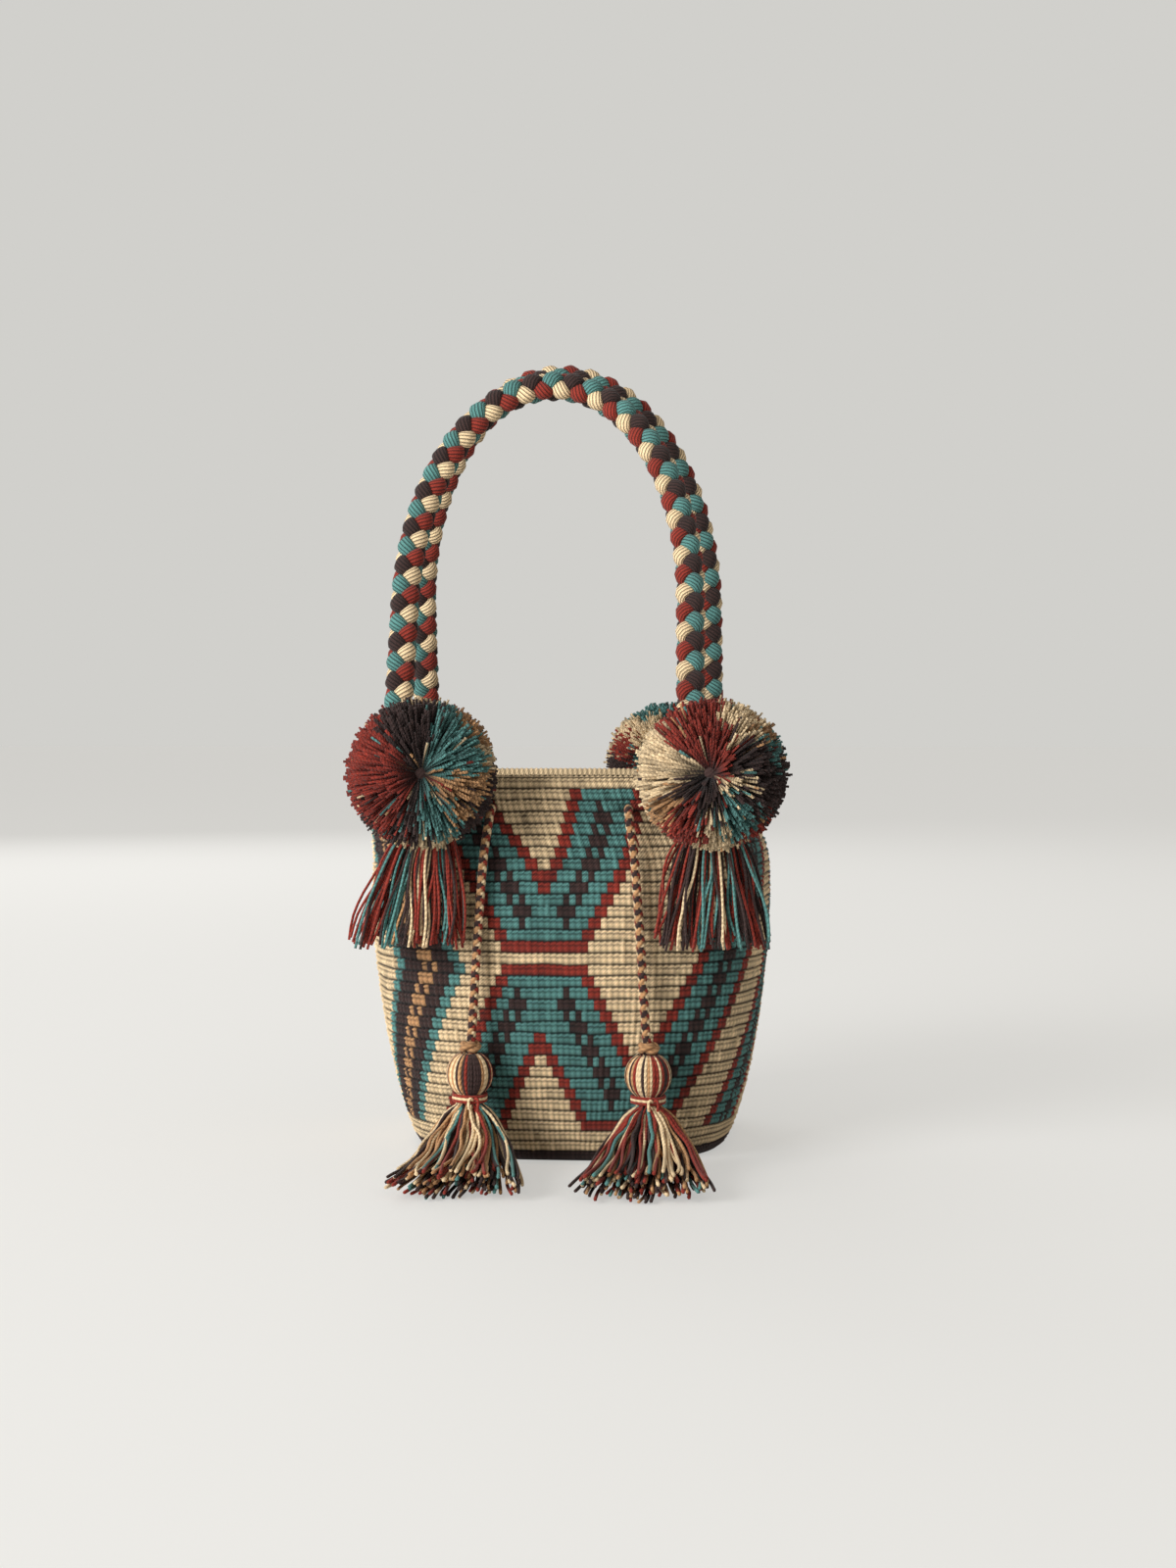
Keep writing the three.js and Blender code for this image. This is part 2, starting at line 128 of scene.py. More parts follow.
# The turn from one thread to the next that spreads threads evenly over a round
GOLDEN_TURN = 2.39996


def linear(hex_colour):
    """An sRGB hex colour as linear red, green, blue and alpha."""
    parts = [int(hex_colour[i : i + 2], 16) / 255 for i in (1, 3, 5)]
    linears = [c / 12.92 if c <= 0.04045 else ((c + 0.055) / 1.055) ** 2.4 for c in parts]
    return linears + [1]


def add_object(name, data):
    made = bpy.data.objects.new(name, data)
    bpy.context.scene.collection.objects.link(made)
    return made


# Camera: the photograph's, 1.24 m away and nearly level

AZIMUTH, DISTANCE, EYE_HEIGHT, ASIDE = math.radians(4), 1240, 226.6, 7
SENSOR, LENS, LOOK_DOWN = 36, 51.75, 1.57
camera = add_object("camera", bpy.data.cameras.new("camera"))
camera.data.sensor_width = SENSOR
camera.data.lens = LENS
camera.data.clip_start, camera.data.clip_end = 0.05, 50
camera.location = (
    (DISTANCE * math.sin(AZIMUTH) + ASIDE * math.cos(AZIMUTH)) * MM,
    (-DISTANCE * math.cos(AZIMUTH) + ASIDE * math.sin(AZIMUTH)) * MM,
    EYE_HEIGHT * MM,
)
camera.rotation_euler = (math.radians(90 - LOOK_DOWN), 0, AZIMUTH)
bpy.context.scene.camera = camera


# Materials


def add_node(tree, kind, inputs=None, **settings):
    """A new node with its settings. An input is a value, a socket, or a node's first output."""
    node = tree.nodes.new(kind)
    for name, value in settings.items():
        setattr(node, name, value)
    for socket, value in (inputs or {}).items():
        if isinstance(value, bpy.types.Node):
            value = value.outputs[0]
        if isinstance(value, bpy.types.NodeSocket):
            tree.links.new(value, node.inputs[socket])
        else:
            node.inputs[socket].default_value = value
    return node


def new_material(name):
    material = bpy.data.materials.new(name)
    material.use_nodes = True
    material.node_tree.nodes.clear()
    return material, material.node_tree


def make_cotton(name, colour, twist, fade, groove, strand=0.0, low=0.0, top=1.0):
    """Spun cotton yarn: dull, with a faint sheen of loose fibre. Its plies run as slanting stripes
    that catch light on top through the bump, with painted shade between them, and the dye is a
    little uneven. Where yarns lie side by side in a strand, each shows as a ridge along it, strand
    millimetres from the next, with painted shade between the ridges. groove and top are how full
    the colour is at a lift of low and at full lift: painted shade where the yarn lies low and,
    above 1, a painted highlight where it stands high."""
    material, tree = new_material(name)
    yarn = add_node(tree, "ShaderNodeAttribute", attribute_name="yarn").outputs["Vector"]
    across, along, lift = add_node(tree, "ShaderNodeSeparateXYZ", {0: yarn}).outputs
    place = add_node(tree, "ShaderNodeTexCoord").outputs["Object"]
    # plies: slanting stripes, one for each twist length, or ridges along the strand
    striped = across
    if not strand:
        striped = add_node(tree, "ShaderNodeMath", {0: across, 1: along}, operation="ADD")
    stripes = {0: striped, 1: 2 * math.pi / (strand or twist)}
    ply = add_node(tree, "ShaderNodeMath", stripes, operation="MULTIPLY")
    ply = add_node(tree, "ShaderNodeMath", {0: ply}, operation="SINE")
    fibre, dye = (
        add_node(tree, "ShaderNodeTexNoise", {"Vector": place, "Scale": 1 / size, "Detail": detail})
        for size, detail in [(FIBRE_SIZE * MM, 2), (DYE_SIZE * MM, 3)]
    )
    # painted shade deep between stitches and plies, full or painted highlight on tops, uneven dye
    shades = [
        (lift, low, 1, groove, top),
        (ply, -1, 0.1, 0.2, 1) if strand else (ply, -1, 0.4, 0.75, 1),
        (dye, 0.3, 0.7, 1 - fade, 1 + fade),
    ]
    sockets = ["Value", "From Min", "From Max", "To Min", "To Max"]
    full = 1
    for shade in shades:
        mapped = add_node(tree, "ShaderNodeMapRange", dict(zip(sockets, shade)))
        full = add_node(tree, "ShaderNodeMath", {0: full, 1: mapped}, operation="MULTIPLY")
    colours = {0: linear(colour)[:3], "Scale": full}
    tint = add_node(tree, "ShaderNodeVectorMath", colours, operation="SCALE")
    heights = {0: ply, 1: 0.35, 2: fibre}
    height = add_node(tree, "ShaderNodeMath", heights, operation="MULTIPLY_ADD")
    relief = {"Height": height, "Strength": 0.8, "Distance": 0.4 * MM}
    cotton = {
        "Base Color": tint,
        "Roughness": 0.88,
        "Specular IOR Level": 0.25,
        "Sheen Weight": 0.07,
        "Sheen Roughness": 0.6,
        "Normal": add_node(tree, "ShaderNodeBump", relief),
    }
    shader = add_node(tree, "ShaderNodeBsdfPrincipled", cotton)
    add_node(tree, "ShaderNodeOutputMaterial", {"Surface": shader})
    return material


def cottons(kind, *finish, **more):
    """The five colours of one kind of cotton."""
    return [
        make_cotton(kind + "_" + name, colour, *finish, **more)
        for name, colour in zip(YARN_NAMES, YARN_HEX)
    ]


# Crochet cotton of about 1.6 mm, tightly plied: short slanting stripes on each stitch, painted
# shade in the gaps between the rows and a painted highlight on the stitches' tops
CROCHET = cottons("crochet_cotton", 1.5, 0.14, 0.1, low=0.14, top=1.16)
# Soft cotton thread for cord, foot, fringe and tassel, its plies drawn twice as long as they are,
# so that they show, with painted shade between them
THREAD = cottons("thread_cotton", 2.6, 0.18, 0.5)
# The pompoms' cut pile, with painted shade that goes dark towards the bound middle and a painted
# highlight on the brightest cut ends
PILE = cottons("cut_pile_cotton", 2.2, 0.22, 0.1, low=0.12, top=1.1)
# The handles' strands: bundles of fine yarns, whose ridges run along each strand, with painted
# shade between the ridges
BRAID = cottons("braid_cotton", 1.3, 0.14, 0.5, strand=1.5)


# Mesh making


def unit(vectors):
    """The vectors at length 1."""
    return vectors / np.maximum(np.linalg.norm(vectors, axis=-1, keepdims=True), 1e-9)


def run_along(line):
    """The length run at each point of a line, from its start."""
    return np.concatenate([[0], np.cumsum(np.linalg.norm(np.diff(line, axis=0), axis=1))])


def ring_turns(sides):
    """The turns of a ring's points."""
    return np.arange(sides) / sides * 2 * math.pi


def tube(ring, step, lift, girth):
    """The faces, closing discs and yarn corners of a tube. ring is its rings of points, step the
    length run at each ring, and lift is given for each point."""
    count, sides = ring.shape[:2]
    k, i = np.meshgrid(np.arange(count - 1), np.arange(sides), indexing="ij")
    j = (i + 1) % sides
    low, high = k * sides, (k + 1) * sides
    quads = np.stack([low + i, low + j, high + j, high + i], -1).reshape(-1, 4)
    discs = np.stack([np.arange(sides)[::-1], (count - 1) * sides + np.arange(sides)])
    across = np.stack([i, i + 1, i + 1, i], -1) / sides * girth
    along = np.stack([step[k], step[k], step[k + 1], step[k + 1]], -1)
    raised = np.stack([lift[k, i], lift[k, j], lift[k + 1, j], lift[k + 1, i]], -1)
    return quads, discs, np.stack([across, along, raised], -1).reshape(-1, 4, 3)


def disc_corners(discs):
    """Yarn corners of closing discs: a middling lift, so a middling painted shade."""
    return np.tile([0.0, 0.0, 0.6], (discs.size, 1))


def make_piece(name, points, faces, materials, face_yarn, yarn_corners, body):
    """A mesh piece. points are millimetres; faces is a list of arrays, each of faces with as many
    corners as it has columns; yarn_corners holds across, along and lift for every corner."""
    mesh = bpy.data.meshes.new(name)
    totals = np.concatenate([np.full(len(f), f.shape[1]) for f in faces])
    loops = np.concatenate([f.ravel() for f in faces])
    mesh.vertices.add(len(points))
    mesh.vertices.foreach_set("co", (points * MM).astype(np.float32).ravel())
    mesh.loops.add(len(loops))
    mesh.loops.foreach_set("vertex_index", loops.astype(np.int32))
    mesh.polygons.add(len(totals))
    starts = np.concatenate([[0], np.cumsum(totals)[:-1]])
    mesh.polygons.foreach_set("loop_start", starts.astype(np.int32))
    mesh.polygons.foreach_set("material_index", face_yarn.astype(np.int32))
    mesh.polygons.foreach_set("use_smooth", np.ones(len(totals), bool))
    layer = mesh.attributes.new("yarn", "FLOAT_VECTOR", "CORNER")
    layer.data.foreach_set("vector", yarn_corners.astype(np.float32).ravel())
    for material in materials:
        mesh.materials.append(material)
    mesh.update(calc_edges=True)
    mesh.validate()
    piece = add_object(name, mesh)
    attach(piece, body)
    return piece


class Skein:
    """Gathers swept strands of yarn into one mesh."""

    def __init__(self):
        self.points, self.quads, self.caps, self.corners = [], [], [], []
        self.quad_yarn, self.count = [], 0

    def strand(self, line, wide, thick, sides, yarn, facing, lobes=0, lobe_depth=0.0):
        """Sweeps an oval of half sizes wide and thick along line. thick lies along facing.
        lobes are the finer yarns of a bundle, seen as ridges along it with painted shade between
        them."""
        line = np.asarray(line, float)
        count = len(line)
        tangent = unit(np.gradient(line, axis=0))
        facing = np.broadcast_to(np.asarray(facing, float), line.shape)
        out = unit(facing - (facing * tangent).sum(1, keepdims=True) * tangent)
        side = np.cross(tangent, out)
        turn = ring_turns(sides)
        # painted shade as well as dents: the lift is low between the ridges
        lift = np.abs(np.cos(turn * lobes / 2)) if lobes else np.ones(sides)
        scale = 1 - lobe_depth * (1 - lift)
        wide = np.broadcast_to(np.asarray(wide, float), (count,))[:, None, None]
        thick = np.broadcast_to(np.asarray(thick, float), (count,))[:, None, None]
        ring = (
            line[:, None]
            + side[:, None] * wide * (np.cos(turn) * scale)[None, :, None]
            + out[:, None] * thick * (np.sin(turn) * scale)[None, :, None]
        )
        girth = 2 * math.pi * float(wide.mean() + thick.mean()) / 2
        lift = np.broadcast_to(lift, (count, sides))
        quads, discs, corners = tube(ring, run_along(line), lift, girth)
        self.points.append(ring.reshape(-1, 3))
        self.quads.append(quads + self.count)
        self.corners.append(corners)
        self.quad_yarn.append(np.full(len(quads), yarn))
        self.caps.append((sides, discs + self.count, np.full(2, yarn)))
        self.count += count * sides

    def threads(self, lines, radii, sides, yarns, shade):
        """Sweeps round threads, all with equally many points; lines is threads by points by 3, and
        shade gives how full the colour is at each point, as painted shade. The far ends are closed."""
        many, count = lines.shape[:2]
        tangent = unit(np.gradient(lines, axis=1))
        out = unit(np.cross(tangent, [0.31, 0.52, 0.8]))
        side = np.cross(tangent, out)
        turn = ring_turns(sides)
        radii = np.broadcast_to(radii, (many, count))[..., None, None]
        ring = side[:, :, None] * np.cos(turn)[:, None] + out[:, :, None] * np.sin(turn)[:, None]
        ring = lines[:, :, None] + ring * radii
        ranges = np.arange(many), np.arange(count - 1), np.arange(sides)
        n, k, i = np.meshgrid(*ranges, indexing="ij")
        j = (i + 1) % sides
        low = self.count + (n * count + k) * sides
        quads = np.stack([low + i, low + j, low + sides + j, low + sides + i], -1)
        step = np.linalg.norm(np.diff(lines, axis=1), axis=2).cumsum(1)
        step = np.concatenate([np.zeros((many, 1)), step], 1)
        girth = 2 * math.pi * radii.mean((1, 2, 3))[n] / sides
        shift = rng.uniform(0, 9, many)[n]
        across = np.stack([i, i + 1, i + 1, i], -1) * girth[..., None] + shift[..., None]
        along = np.stack([step[n, k], step[n, k], step[n, k + 1], step[n, k + 1]], -1)
        self.points.append(ring.reshape(-1, 3))
        self.quads.append(quads.reshape(-1, 4))
        shade = np.broadcast_to(shade, (many, count))
        full = np.stack([shade[n, k], shade[n, k], shade[n, k + 1], shade[n, k + 1]], -1)
        self.corners.append(np.stack([across, along, full], -1).reshape(-1, 4, 3))
        self.quad_yarn.append(np.asarray(yarns)[n].ravel())
        last = self.count + (np.arange(many)[:, None] * count + count - 1) * sides
        self.caps.append((sides, last + np.arange(sides), np.asarray(yarns)))
        self.count += many * count * sides

    def piece(self, name, materials, body, slot):
        """All that was gathered, as one piece."""
        faces, yarns = [np.concatenate(self.quads)], [np.concatenate(self.quad_yarn)]
        corners = [np.concatenate(self.corners).reshape(-1, 3)]
        for size in sorted({cap[0] for cap in self.caps}):
            discs, disc_yarns = zip(*(cap[1:] for cap in self.caps if cap[0] == size))
            faces.append(np.concatenate(discs))
            yarns.append(np.concatenate(disc_yarns))
            corners.append(disc_corners(faces[-1]))
        points, yarns, corners = map(np.concatenate, (self.points, yarns, corners))
        return make_piece(name, points, faces, materials, yarns, corners, body)


def smooth_line(stops, count):
    """A smooth curve through the stops, as evenly spaced points."""
    stops = np.asarray(stops, float)
    padded = np.vstack([2 * stops[0] - stops[1], stops, 2 * stops[-1] - stops[-2]])
    places = np.linspace(0, len(stops) - 1, count * 4)
    k = np.minimum(places.astype(int), len(stops) - 2)
    t = (places - k)[:, None]
    a, b, c, d = padded[k], padded[k + 1], padded[k + 2], padded[k + 3]
    bend, curl = 2 * a - 5 * b + 4 * c - d, 3 * b - a - 3 * c + d
    line = 0.5 * (2 * b + (c - a) * t + bend * t**2 + curl * t**3)
    return even_line(line, count)


def even_line(line, count):
    """The same line as count evenly spaced points."""
    step = run_along(line)
    places = np.linspace(0, step[-1], count)
    return np.stack([np.interp(places, step, line[:, axis]) for axis in range(3)], -1)


# The body's form


def outer_radius(z):
    """The wall's half width at a height: widest at the bulge."""
    z = np.asarray(z, float)
    climb = (z - BULGE_HEIGHT) / (BODY_HEIGHT - BULGE_HEIGHT)
    above = BULGE_RADIUS - (BULGE_RADIUS - MOUTH_RADIUS) * climb**2
    swell = np.sin(math.pi / 2 * np.clip(z, 0, BULGE_HEIGHT) / BULGE_HEIGHT)
    below = BASE_RADIUS + (BULGE_RADIUS - BASE_RADIUS) * swell ** (2 / 3)
    return np.where(z > BULGE_HEIGHT, above, below)


def lean(z):
    """How far the wall is shifted aside at a height; the mouth sits a little to the left."""
    rise = (np.asarray(z, float) - MOUTH_SHIFT_START) / (BODY_HEIGHT - MOUTH_SHIFT_START)
    reach = np.clip(rise, 0, 1)
    return MOUTH_SHIFT * reach**2 * (3 - 2 * reach)


def squared(turn):
    """How much further out a squared round is than a circle, for each turn."""
    total = np.abs(np.cos(turn)) ** SQUARENESS + np.abs(np.sin(turn)) ** SQUARENESS
    return total ** (-1 / SQUARENESS)


def wall_place(turn, z, out=0.0):
    """A point on the body and the way outwards there; turn is 0 at the front, towards +X."""
    turn = np.asarray(turn, float) - math.pi / 2
    reach = outer_radius(z) * squared(turn)
    x, y = reach * np.cos(turn), reach * np.sin(turn)
    power = SQUARENESS - 1
    normal_x, normal_y = np.sign(x) * np.abs(x) ** power, np.sign(y) * np.abs(y) ** power
    normal = unit(np.stack([normal_x, normal_y, x * 0], -1))
    point = np.stack([x + lean(z), y, np.broadcast_to(z, x.shape)], -1)
    return point + normal * np.asarray(out)[..., None], normal


def turn_table():
    """Turn against the share of the way round, so that stitches are evenly wide."""
    turn = np.linspace(0, 2 * math.pi, 2001)
    point = squared(turn)[:, None] * np.stack([np.cos(turn), np.sin(turn)], -1)
    step = run_along(point)
    return turn, step / step[-1]


TURNS, SHARES = turn_table()


def turn_at(stitch):
    """The turn of a place counted in stitches from the middle of the motif."""
    start = MOTIF_X / (2 * math.pi * BULGE_RADIUS * SQUARE_GIRTH)
    return np.interp((np.asarray(stitch) / STITCHES + start) % 1, SHARES, TURNS)


# The pattern: which yarn each stitch is made with


def chain(row, place, figure, ground):
    """A chain three stitches wide: solid rows and rows open in the middle, by turns."""
    return np.where((row % 2 == 0) | (place < 1) | (place >= 2), figure, ground)


def crossed_figure(row, stitch):
    """The big crossed figure. stitch is the stitch's middle, counted from the figure's axis."""
    upper = row <= 16
    mirrored = np.where(upper, row, 32 - row)
    away = np.abs(stitch)
    left_low = ~upper & (stitch < 0)
    chain_place = away - (14 - mirrored) - left_low
    inner = np.where(upper, away, np.abs(stitch + 1))
    cream_to = np.where(upper, 9 - mirrored, row - 24)
    red_to = np.where(upper, 11 - mirrored, row - 22)
    outside = 22 - mirrored
    inside = (row >= 2) & (row <= 31) & (away < outside)
    in_chain = (chain_place >= 0) & (chain_place < 3) & (mirrored >= 3) & (mirrored <= 13)
    layers = [
        (inside, TEAL),
        (inside & in_chain, chain(mirrored, chain_place, BROWN, TEAL)),
        (inside & (mirrored == 3) & (chain_place >= 1) & (chain_place < 3), TEAL),
        (inside & (mirrored == 13) & (chain_place < 2), TEAL),
        (inside & (away >= outside - 2), RED),
        (inside & (inner < red_to), RED),
        (inside & (inner < cream_to), CREAM),
        ((row == 15) | (row == 17), np.where(away < 7, RED, -1)),
        (row == 16, np.where(away < 7, CREAM, -1)),
        ((row == 31) & (inner >= cream_to) & (away < 21), RED),
    ]
    yarn = np.full(stitch.shape, -1)
    for where, layer in layers:
        yarn = np.where(where, layer, yarn)
    return yarn


def band(row, place, width, edge, ground, figure):
    """A band from place 0 to width, with edges of two stitches and a chain along its middle."""
    within = (place >= 0) & (place < width)
    yarn = np.where(within, np.where((place < 2) | (place >= width - 2), edge, ground), -1)
    return np.where((place >= 5) & (place < 8), chain(row, place - 5, figure, ground), yarn)


def chevron(row, stitch):
    """The pointed band at the left, with a chain of tan diamonds down its middle."""
    return band(row, -13 - np.abs(row - 17) - stitch, 14, TEAL, BROWN, TAN)


def slanting_band(row, stitch, start):
    """A band that climbs to the right by one stitch a row."""
    return band(row, stitch - (start - row), 13, RED, TEAL, BROWN)


def yarn_of(row, index):
    """The yarn of a stitch: row 1 is at the mouth, index counts stitches from the figure's axis."""
    row, index = np.broadcast_arrays(row, index)
    half = STITCHES / 2
    stitch = (index + 0.5 + half / 2) % half - half / 2
    yarn = np.full(stitch.shape, CREAM)
    for figure in (
        slanting_band(row, stitch, 62),
        slanting_band(row, stitch + half, 62),
        slanting_band(row, stitch + half, 41),
        slanting_band(row, stitch, 41),
        chevron(row, stitch),
        crossed_figure(row, stitch),
    ):
        yarn = np.where(figure >= 0, figure, yarn)
    yarn = np.where((row == 1) | (row == 32) | (row == 33), CREAM, yarn)
    return np.where(row >= ROWS, BROWN, yarn)


# The crochet body

# One stitch, from its top down: where each line of points lies in the row, how far that slants
# over the stitch's width, and how high it stands off the cloth in the stitch's middle and at its
# edge. The first lines are the slanting loop, the rest the post below it.
STITCH_LINES = [
    (0.02, 0.06, -0.6, -0.6),
    (0.17, 0.17, 0.8, 0.4),
    (0.36, 0.12, 0.0, -0.2),
    (0.58, 0.02, 0.65, 0.2),
    (0.84, 0.0, 0.3, -0.05),
]
# The stitch heights at the least and the fullest colour: yarn lying lower gets painted shade
LIFT_LOW, LIFT_HIGH = -0.5, 0.6


def profile_line():
    """Height against the share of the way down the wall."""
    z = np.linspace(BODY_HEIGHT - RIM_TURN, BASE_TURN, 1500)
    step = np.concatenate([[0], np.cumsum(np.hypot(np.diff(z), np.diff(outer_radius(z))))])
    return step / step[-1], z, step[-1]


WALL_SHARES, WALL_HEIGHTS, WALL_LENGTH = profile_line()


def slump(turn, z):
    """Slow swells of the limp cloth, in and out, in millimetres."""
    up = z / BODY_HEIGHT
    wave = 0.8 * np.sin(2 * turn + 3.1 * up + 0.6) + 0.6 * np.sin(3 * turn - 4.3 * up + 2.0)
    return wave * np.clip(up * 3, 0, 1) * (0.6 + 0.4 * up)


def slit_dimple(turn, z):
    """How far the cloth is drawn in where the drawstring goes through."""
    depth = np.zeros(np.broadcast(turn, z).shape)
    for slit in SLITS:
        gap = (turn - math.radians(slit) + math.pi) % (2 * math.pi) - math.pi
        aside = gap * SLIT_RADIUS / DIMPLE_REACH
        depth = depth + np.exp(-(aside**2) - ((z - SLIT_HEIGHT) / DIMPLE_RISE) ** 2)
    return np.minimum(depth, 1)


# How much fuller or flatter each hand-made stitch is than the next, and how its row wavers
STITCH_FULLNESS = rng.normal(0, 0.16, (ROWS + 2, STITCHES))
ROW_WAVER = rng.normal(0, 0.045, (ROWS + 2, WAVER_KNOTS))
ROW_WAVER[:, -1] = ROW_WAVER[:, 0]


def row_waver(row, place, u):
    """How far a row's line of points wavers up or down there, in rows. The rim and the base are
    straight."""
    if not 1 < row < ROWS:
        return 0
    knots = np.linspace(0, STITCHES, WAVER_KNOTS)
    above, below = (np.interp(u, knots, ROW_WAVER[row + n]) for n in (0, 1))
    return above * (1 - place) + below * place


def crochet_rows(first, last, columns, lines, outward, sink, relief):
    """Points, lifts and along lengths of the rows from first to last."""
    u = np.arange(STITCHES * columns) / columns
    saw = u % 1
    stitch = u.astype(int)
    swell = np.sin(math.pi * saw) ** 2
    points, lifts, places = [], [], []
    for row in range(first, last + 1):
        for place, slant, middle, edge in lines:
            down = (row - 1 + place + slant * (0.5 - saw) + row_waver(row, place, u)) / ROWS
            z = np.interp(down, WALL_SHARES, WALL_HEIGHTS)
            turn = turn_at(u)
            full = STITCH_FULLNESS[row, stitch] * (1 if place > 0.1 else 1.8)
            height = edge + (middle - edge) * swell + full * (0.25 + 0.75 * swell)
            dimple = slit_dimple(turn, z)
            out = slump(turn, z) - sink + outward * (height * relief - dimple * DIMPLE_DEPTH)
            points.append(wall_place(turn, z, out)[0])
            # painted shade: darker where the yarn lies low, and darker in the dimples at the slits
            lifts.append((height - LIFT_LOW) / (LIFT_HIGH - LIFT_LOW) * (1 - 0.7 * dimple))
            places.append(down * WALL_LENGTH)
    return np.array(points), np.array(lifts), np.array(places), u


def grid_piece(name, points, lifts, places, u, rows, turned, columns):
    """A sheet of stitches as one piece; rows gives each line of faces its row."""
    lines, around = points.shape[:2]
    k, i = np.divmod(np.arange((lines - 1) * around), around)
    j = (i + 1) % around
    low, high = k * around, (k + 1) * around
    quads = np.stack([low + i, high + i, high + j, low + j], -1)
    if turned:
        quads = quads[:, ::-1]
    pitch = 2 * math.pi * BULGE_RADIUS * SQUARE_GIRTH / STITCHES
    across = np.stack([u[i], u[i], u[i] + 1 / columns, u[i] + 1 / columns], -1) * pitch
    along = np.stack([places[k, i], places[k + 1, i], places[k + 1, j], places[k, j]], -1)
    raised = np.stack([lifts[k, i], lifts[k + 1, i], lifts[k + 1, j], lifts[k, j]], -1)
    corners = np.stack([across, along, np.clip(raised, 0, 1)], -1)
    if turned:
        corners = corners[:, ::-1]
    yarn = yarn_of(rows[k], np.floor(u[i] + 1e-6))
    points, corners = points.reshape(-1, 3), corners.reshape(-1, 3)
    return make_piece(name, points, [quads], CROCHET, yarn, corners, "bag")


def make_body():
    columns = 4
    pieces = []
    # the rim: the last row's top, rolled over from the outside to the inside
    u = np.arange(STITCHES * columns) / columns
    turn = turn_at(u)
    bead = 0.35 * np.cos(2 * math.pi * (u - 0.5))
    rim_shape = [(-3.5, -3.4), (-3.3, -1.4), (-2.4, 0.1), (-1.2, 0.5), (-0.2, -0.1)]
    rim = [
        wall_place(turn, BODY_HEIGHT - RIM_TURN, slump(turn, BODY_HEIGHT) + out + bead * 0.4)[0]
        + np.stack([u * 0, u * 0, rise + bead], -1)
        for out, rise in rim_shape
    ]
    # painted shade between the rim's stitches
    rim_lift = np.array([0.4 + 0.6 * np.sin(math.pi * (u % 1)) ** 2] * len(rim_shape))
    rim_places = np.array([u * 0 - 4 + n for n in range(len(rim_shape))])
    outer = (1, OUTER_SINK, OUTER_RELIEF)
    for half, first, last in [("upper", 1, 17), ("lower", 18, ROWS)]:
        *sheet, u = crochet_rows(first, last, columns, STITCH_LINES, *outer)
        rows = np.repeat(np.arange(first, last + 1), len(STITCH_LINES))
        if half == "upper":
            sheet = [np.concatenate(pair) for pair in zip((rim, rim_lift, rim_places), sheet)]
            rows = np.concatenate([np.ones(len(rim)), rows])
            *more, _ = crochet_rows(last + 1, last + 1, columns, STITCH_LINES[:1], *outer)
        else:
            more = base_edge(u)
        sheet = [np.concatenate(pair) for pair in zip(sheet, more)]
        rows = np.concatenate([rows, np.full(len(more[0]), last)])
        pieces.append(grid_piece("crochet_" + half, *sheet, u, rows, False, columns))
    # the inside of the same rows, coarser; its first line would lie in the rim
    inside_lines = [(0.0, 0.0, -0.4, -0.4), (0.45, 0.0, 0.6, -0.1)]
    *sheet, u = crochet_rows(1, ROWS, 2, inside_lines, -1, INNER_SINK, INNER_RELIEF)
    sheet = [part[1:] for part in sheet]
    rows = np.repeat(np.arange(1, ROWS + 1), len(inside_lines))[1:]
    pieces.append(grid_piece("crochet_inside", *sheet, u, rows, True, 2))
    return pieces


def base_edge(u):
    """Two lines that turn the wall under at the base."""
    turn = turn_at(u)
    points = [
        wall_place(turn, BASE_TURN, u * 0 + out)[0] * [1, 1, 0] + [0, 0, z]
        for out, z in [(-1.0, 0.35), (-3.2, 0.25)]
    ]
    # painted shade: the edge turned under at the base is dark
    lifts = np.full((2, len(u)), 0.3)
    places = np.array([u * 0 + WALL_LENGTH + n for n in (1, 2)])
    return np.array(points), lifts, places


def make_base(name, height, sink, turned, flip):
    """The flat round of the base: rounds of stitches in from the wall to the middle."""
    columns = 2
    u = np.arange(STITCHES * columns) / columns
    turn = turn_at(u)
    edge = wall_place(turn, BASE_TURN, u * 0 - 2.6 - sink)[0] * [1, 1, 0]
    points, lifts, places, rows = [], [], [], []
    for n in range(BASE_ROUNDS):
        # each line's lift: painted shade between the base's rounds and stitches
        for place, lift in [(0.0, 0.1), (0.35, 0.9), (0.75, 0.8)]:
            share = (n + place) / BASE_ROUNDS
            dent = 0.5 * (1 - lift)
            points.append(edge * (1 - 0.985 * share) + [0, 0, height + flip * dent])
            lifts.append(lift * (0.55 + 0.45 * np.sin(math.pi * (u % 1)) ** 2))
            places.append(u * 0 + share * BASE_RADIUS)
            rows.append(ROWS if n < 2 or n % 4 == 3 else 32)
    sheet = np.array(points), np.array(lifts), np.array(places)
    return grid_piece(name, *sheet, u, np.array(rows), turned, columns)


body_pieces = make_body()
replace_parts(body_pieces[0], "bag_body")
make_base("crochet_base", 0.1, 0.0, False, 1)
make_base("crochet_floor", 4.2, 2.5, True, -1)


# The braided handles


def foot_place(face):
    """How far a handle's foot stands aside and forward of the mouth's middle."""
    turn = math.radians(HANDLE_ANGLE[face])
    point = wall_place(turn, BODY_HEIGHT, HANDLE_RADIUS + SEAT_GAP)[0]
    return point[0] - MOUTH_SHIFT, abs(point[1])


